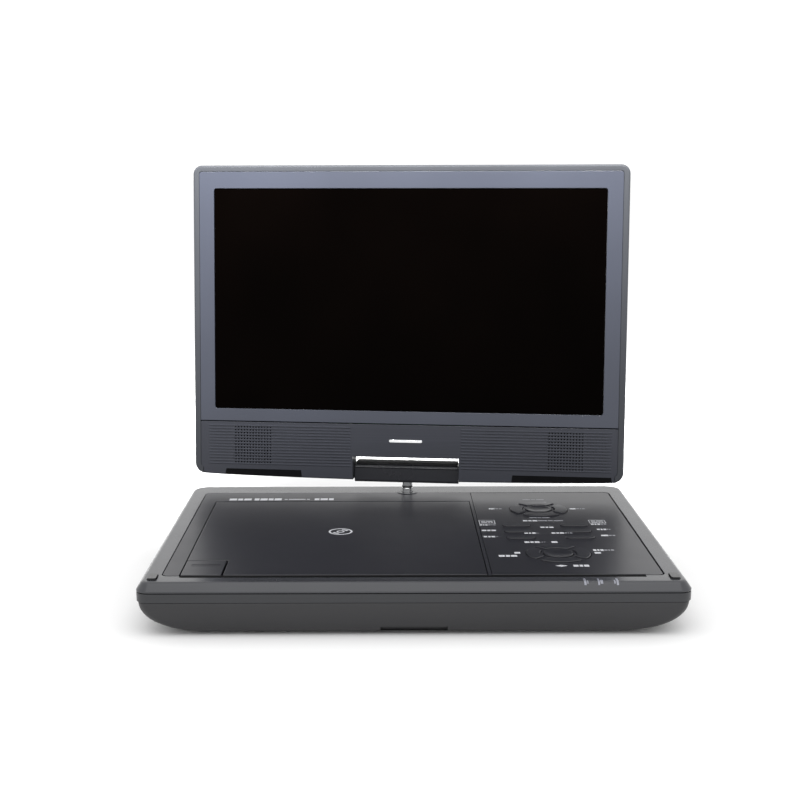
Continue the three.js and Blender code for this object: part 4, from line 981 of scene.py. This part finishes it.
def rib_solid(u0, u1, v):
    """One rounded rib with tapered ends."""
    section = [(-0.5, -0.3), (-0.42, 0.12), (-0.24, 0.3), (0.24, 0.3), (0.42, 0.12), (0.5, -0.3)]
    rings = []
    for u, scale in ((u0, 0.2), (u0 + 0.5, 1), (u1 - 0.5, 1), (u1, 0.2)):
        scaled = [(v + dv * scale, dw if dw < 0 else dw * scale) for dv, dw in section]
        rings.append([(u, height, LID_FACE + rise) for height, rise in scaled])
    return loft(rings)


def hole_field(start, columns, radius, depth, sides):
    """Holes drilled in the grooves between the ribs."""
    holes = []
    for column in range(columns):
        for row in range(RIB_COUNT - 1):
            u = start + column * RIB_PITCH
            v = RIB_FIRST + (row + 0.5) * RIB_PITCH
            holes.append(rod_z(u, v, radius, LID_FACE - depth, LID_FACE + 1, sides))
    return holes


def build_grille():
    """Ribbed panel under the window, with the hinge notch and the speaker holes."""
    outline = lid_outline(RIM_WIDTH + 0.05, SEAM_V - 0.45, top_radius=3.8)
    panel = plate(outline, LID_FACE - 2, LID_FACE, edge=0.14)
    across = [CHIN_HALF * (i / 12 - 1) for i in range(25)]
    chin_outline = [(u, lower_edge(u) + 0.35) for u in across] + [(CHIN_HALF, 8), (-CHIN_HALF, 8)]
    chin = plate(chin_outline, LID_FACE - 0.85, LID_FACE, edge=0.25)
    heights = [RIB_FIRST + k * RIB_PITCH for k in range(RIB_COUNT)]
    ribs = merged([rib_solid(u0, u1, v) for v in heights for u0, u1 in RIB_FIELDS])
    holes = []
    for start, columns in GRILLE_FIELDS:
        holes += hole_field(start, columns, GRILLE_HOLE, 3, 8)
    fine = hole_field(FINE_START, FINE_COLUMNS, FINE_HOLE, 0.5, 6)
    stand_in("speaker_panel", "screen", [panel, chin, ribs],
             "grille", "grille_plastic", cuts=[notch_solid(0.1), merged(holes), merged(fine)])
    badge = plate(stadium(-9.5, 9.5, 18.5, 20.1), LID_FACE - 0.1, LID_FACE + 0.22, edge=0.1)
    piece("lid_plain_badge", "screen", [badge], "chrome", slot="chrome")


# -- small parts of the mechanism
def crest_strip(x0, x1, reach=0.0):
    """A thin window that follows the crest of the front bevel."""
    outer = [(7.2 - reach, 0.04), (3.8, 0.04), (3.12, -0.1), (2.57, -0.36), (2.1, -0.74)]
    outer.append((1.62, -1.42 - reach / 3))
    inner = [(y + 0.5, z - 0.5) for y, z in reversed(outer)]
    return prism_x(outer + inner, x0, x1)


def build_light_guide():
    """Frosted bar under the rim with a small window for each light, no two alike."""
    rail = cuboid(LIGHTS_X[0] - 1.1, LIGHTS_X[-1] + 1.1, 9.4, 13.2, -3.2, -2.3)
    stems = [cuboid(x - 0.9, x + 0.9, 5.4, 9.6, -3.1, -2.4) for x in LIGHTS_X]
    first, second, third = LIGHTS_X
    windows = [
        crest_strip(first - 0.9, first + 0.1), crest_strip(first + 0.5, first + 1.0, 3.4),
        crest_strip(second - 1.2, second - 0.4), crest_strip(second - 0.1, second + 1.1, 2.2),
        crest_strip(third - 1.3, third - 0.6, 2.6), crest_strip(third - 0.2, third + 0.8),
    ]
    stand_in("light_guide", "base", [rail, merged(stems), merged(windows)], "clear", "clear_plastic")


def build_small_parts():
    """The laser's lens and a ring in the mouth of each round socket."""
    lens = [(0, -9.0), (2.0, -9.0), (1.95, -8.86), (1.2, -8.6), (0.6, -8.5), (0, -8.47)]
    piece("laser_lens", "pickup", [lathe(lens, LENS_X, WELL_Y, 40)], "glass", smooth=60)
    for name, (y, radius) in JACKS.items():
        ring = hoop(radius - 0.25, radius - 1.0, MOUTH_X, MOUTH_X + 0.27, y, PORT_Z, 40)
        piece(f"{name}_ring", "base", [turn_to_x(ring)], "steel", slot="steel")


# -- CAD nodes that stay
def smooth_by_angle():
    """A node group that shades blunt edges smooth."""
    group = bpy.data.node_groups.new("smooth_by_angle", "GeometryNodeTree")
    group.interface.new_socket("Geometry", in_out="INPUT", socket_type="NodeSocketGeometry")
    group.interface.new_socket("Geometry", in_out="OUTPUT", socket_type="NodeSocketGeometry")
    nodes, links = group.nodes, group.links
    source, target = nodes.new("NodeGroupInput"), nodes.new("NodeGroupOutput")
    faces = nodes.new("GeometryNodeSetShadeSmooth")
    edges = nodes.new("GeometryNodeSetShadeSmooth")
    edges.domain = "EDGE"
    angle = nodes.new("GeometryNodeInputMeshEdgeAngle")
    small = nodes.new("FunctionNodeCompare")
    small.operation = "LESS_THAN"
    small.inputs["B"].default_value = math.radians(SMOOTH_ANGLE)
    links.new(angle.outputs["Unsigned Angle"], small.inputs["A"])
    links.new(source.outputs[0], faces.inputs["Geometry"])
    links.new(faces.outputs[0], edges.inputs["Geometry"])
    links.new(small.outputs[0], edges.inputs["Shade Smooth"])
    links.new(edges.outputs[0], target.inputs[0])
    return group


KEPT = {
    "rubber": ["foot_front_left", "foot_front_right", "foot_back_left", "foot_back_right"],
    "bumper": ["bumper_left", "bumper_right"],
    "inner_deck": ["disc_bay"],
    "steel": ["mech_chassis", "rail_front", "rail_back", "spindle_motor", "feed_motor", "port_block",
              "tilt_shaft_left", "tilt_shaft_right"],
    "black": ["spindle_hub", "pickup_sled", "headphone_jack", "av_jack", "dc_jack", "power_switch",
              "volume_wheel", "speaker_left", "speaker_right"],
    "white": ["feed_pinion"],
    "board": ["main_board", "key_board", "panel_board"],
    "cell": ["battery_pack"],
    "module": ["lcd_panel"],
}


def dress_kept_nodes():
    """Gives the CAD nodes that stay rounded edges and their materials."""
    group = smooth_by_angle()
    for material, names in KEPT.items():
        for name in names:
            node = NODES[name]
            node.data.materials.clear()
            node.data.materials.append(MATERIALS[material])
            weld = node.modifiers.new("weld", "WELD")
            weld.merge_threshold = 0.00001
            flats = node.modifiers.new("flats", "DECIMATE")
            flats.decimate_type = "DISSOLVE"
            flats.angle_limit = math.radians(1)
            edge = node.modifiers.new("edge", "BEVEL")
            edge.width = 0.00015
            edge.segments = 2
            edge.limit_method = "ANGLE"
            edge.angle_limit = math.radians(40)
            shade_modifier = node.modifiers.new("shade", "NODES")
            shade_modifier.node_group = group
            level_flats(node)


# -- camera, light and floor
CAMERA_PLACE = (-0.0132, -0.7082, 0.2111)
CAMERA_TURN = (90 - 9.53, 0.161, 0.065)
CAMERA_LENS, CAMERA_SHIFT = 62.2, 0.0224
FLOOR_REACH, FLOOR_THICK, FLOOR_DROP = 30, 0.1, 0.0002
WORLD_STRENGTH = 1.15


def build_camera():
    """Camera in front of the player, a little above its screen, looking slightly down."""
    data = bpy.data.cameras.new("camera")
    data.sensor_width = 36
    data.lens = CAMERA_LENS
    data.shift_x = CAMERA_SHIFT
    camera = add_object("camera", data)
    camera.location = CAMERA_PLACE
    camera.rotation_euler = [math.radians(degrees) for degrees in CAMERA_TURN]
    bpy.context.scene.camera = camera


def area_light(name, place, aim, power, size, size_y, spread=180):
    data = bpy.data.lights.new(name, "AREA")
    data.energy = power
    data.shape = "RECTANGLE"
    data.size = size
    data.size_y = size_y
    data.spread = math.radians(spread)
    light = add_object(name, data)
    light.location = place
    light.rotation_euler = (Vector(aim) - Vector(place)).to_track_quat("-Z", "Y").to_euler()


def build_stage():
    """Pale floor, white surroundings and soft lights."""
    s = Shader("floor_paint")
    mottle = s.noise(3, 2)
    paint = s.mix(mottle, (0.86, 0.86, 0.86, 1), (0.9, 0.9, 0.9, 1))
    floor_material = s.finish(Base_Color=paint, Roughness=0.9, Specular_IOR_Level=0.1)
    sides = (-FLOOR_REACH, FLOOR_REACH)
    mesh = mesh_of([cuboid(*sides, *sides, -FLOOR_THICK, 0)])
    mesh.materials.append(floor_material)
    floor = add_object("floor", mesh)
    floor.location.z = -FLOOR_DROP
    world = bpy.data.worlds.new("surroundings")
    world.use_nodes = True
    background = world.node_tree.nodes["Background"]
    background.inputs["Color"].default_value = (1, 1, 1, 1)
    background.inputs["Strength"].default_value = WORLD_STRENGTH
    bpy.context.scene.world = world
    area_light("overhead", (0, -0.7, 1.5), (0, -0.1, 0), 8, 1.6, 1.6)
    area_light("top_panel", (-0.02, -0.3, 0.66), (-0.015, 0.05, 0.345), 2.8, 0.5, 0.12, spread=36)
    bpy.context.scene.view_settings.view_transform = "Standard"


build_trim()
build_slot_shade_strip()
build_band()
build_belly()
build_screws()
build_door()
build_tab()
build_panel()
build_keys()
build_marks()
build_hinge()
build_lid_shell()
build_bezel()
build_grille()
build_light_guide()
build_small_parts()
dress_kept_nodes()
build_camera()
build_stage()
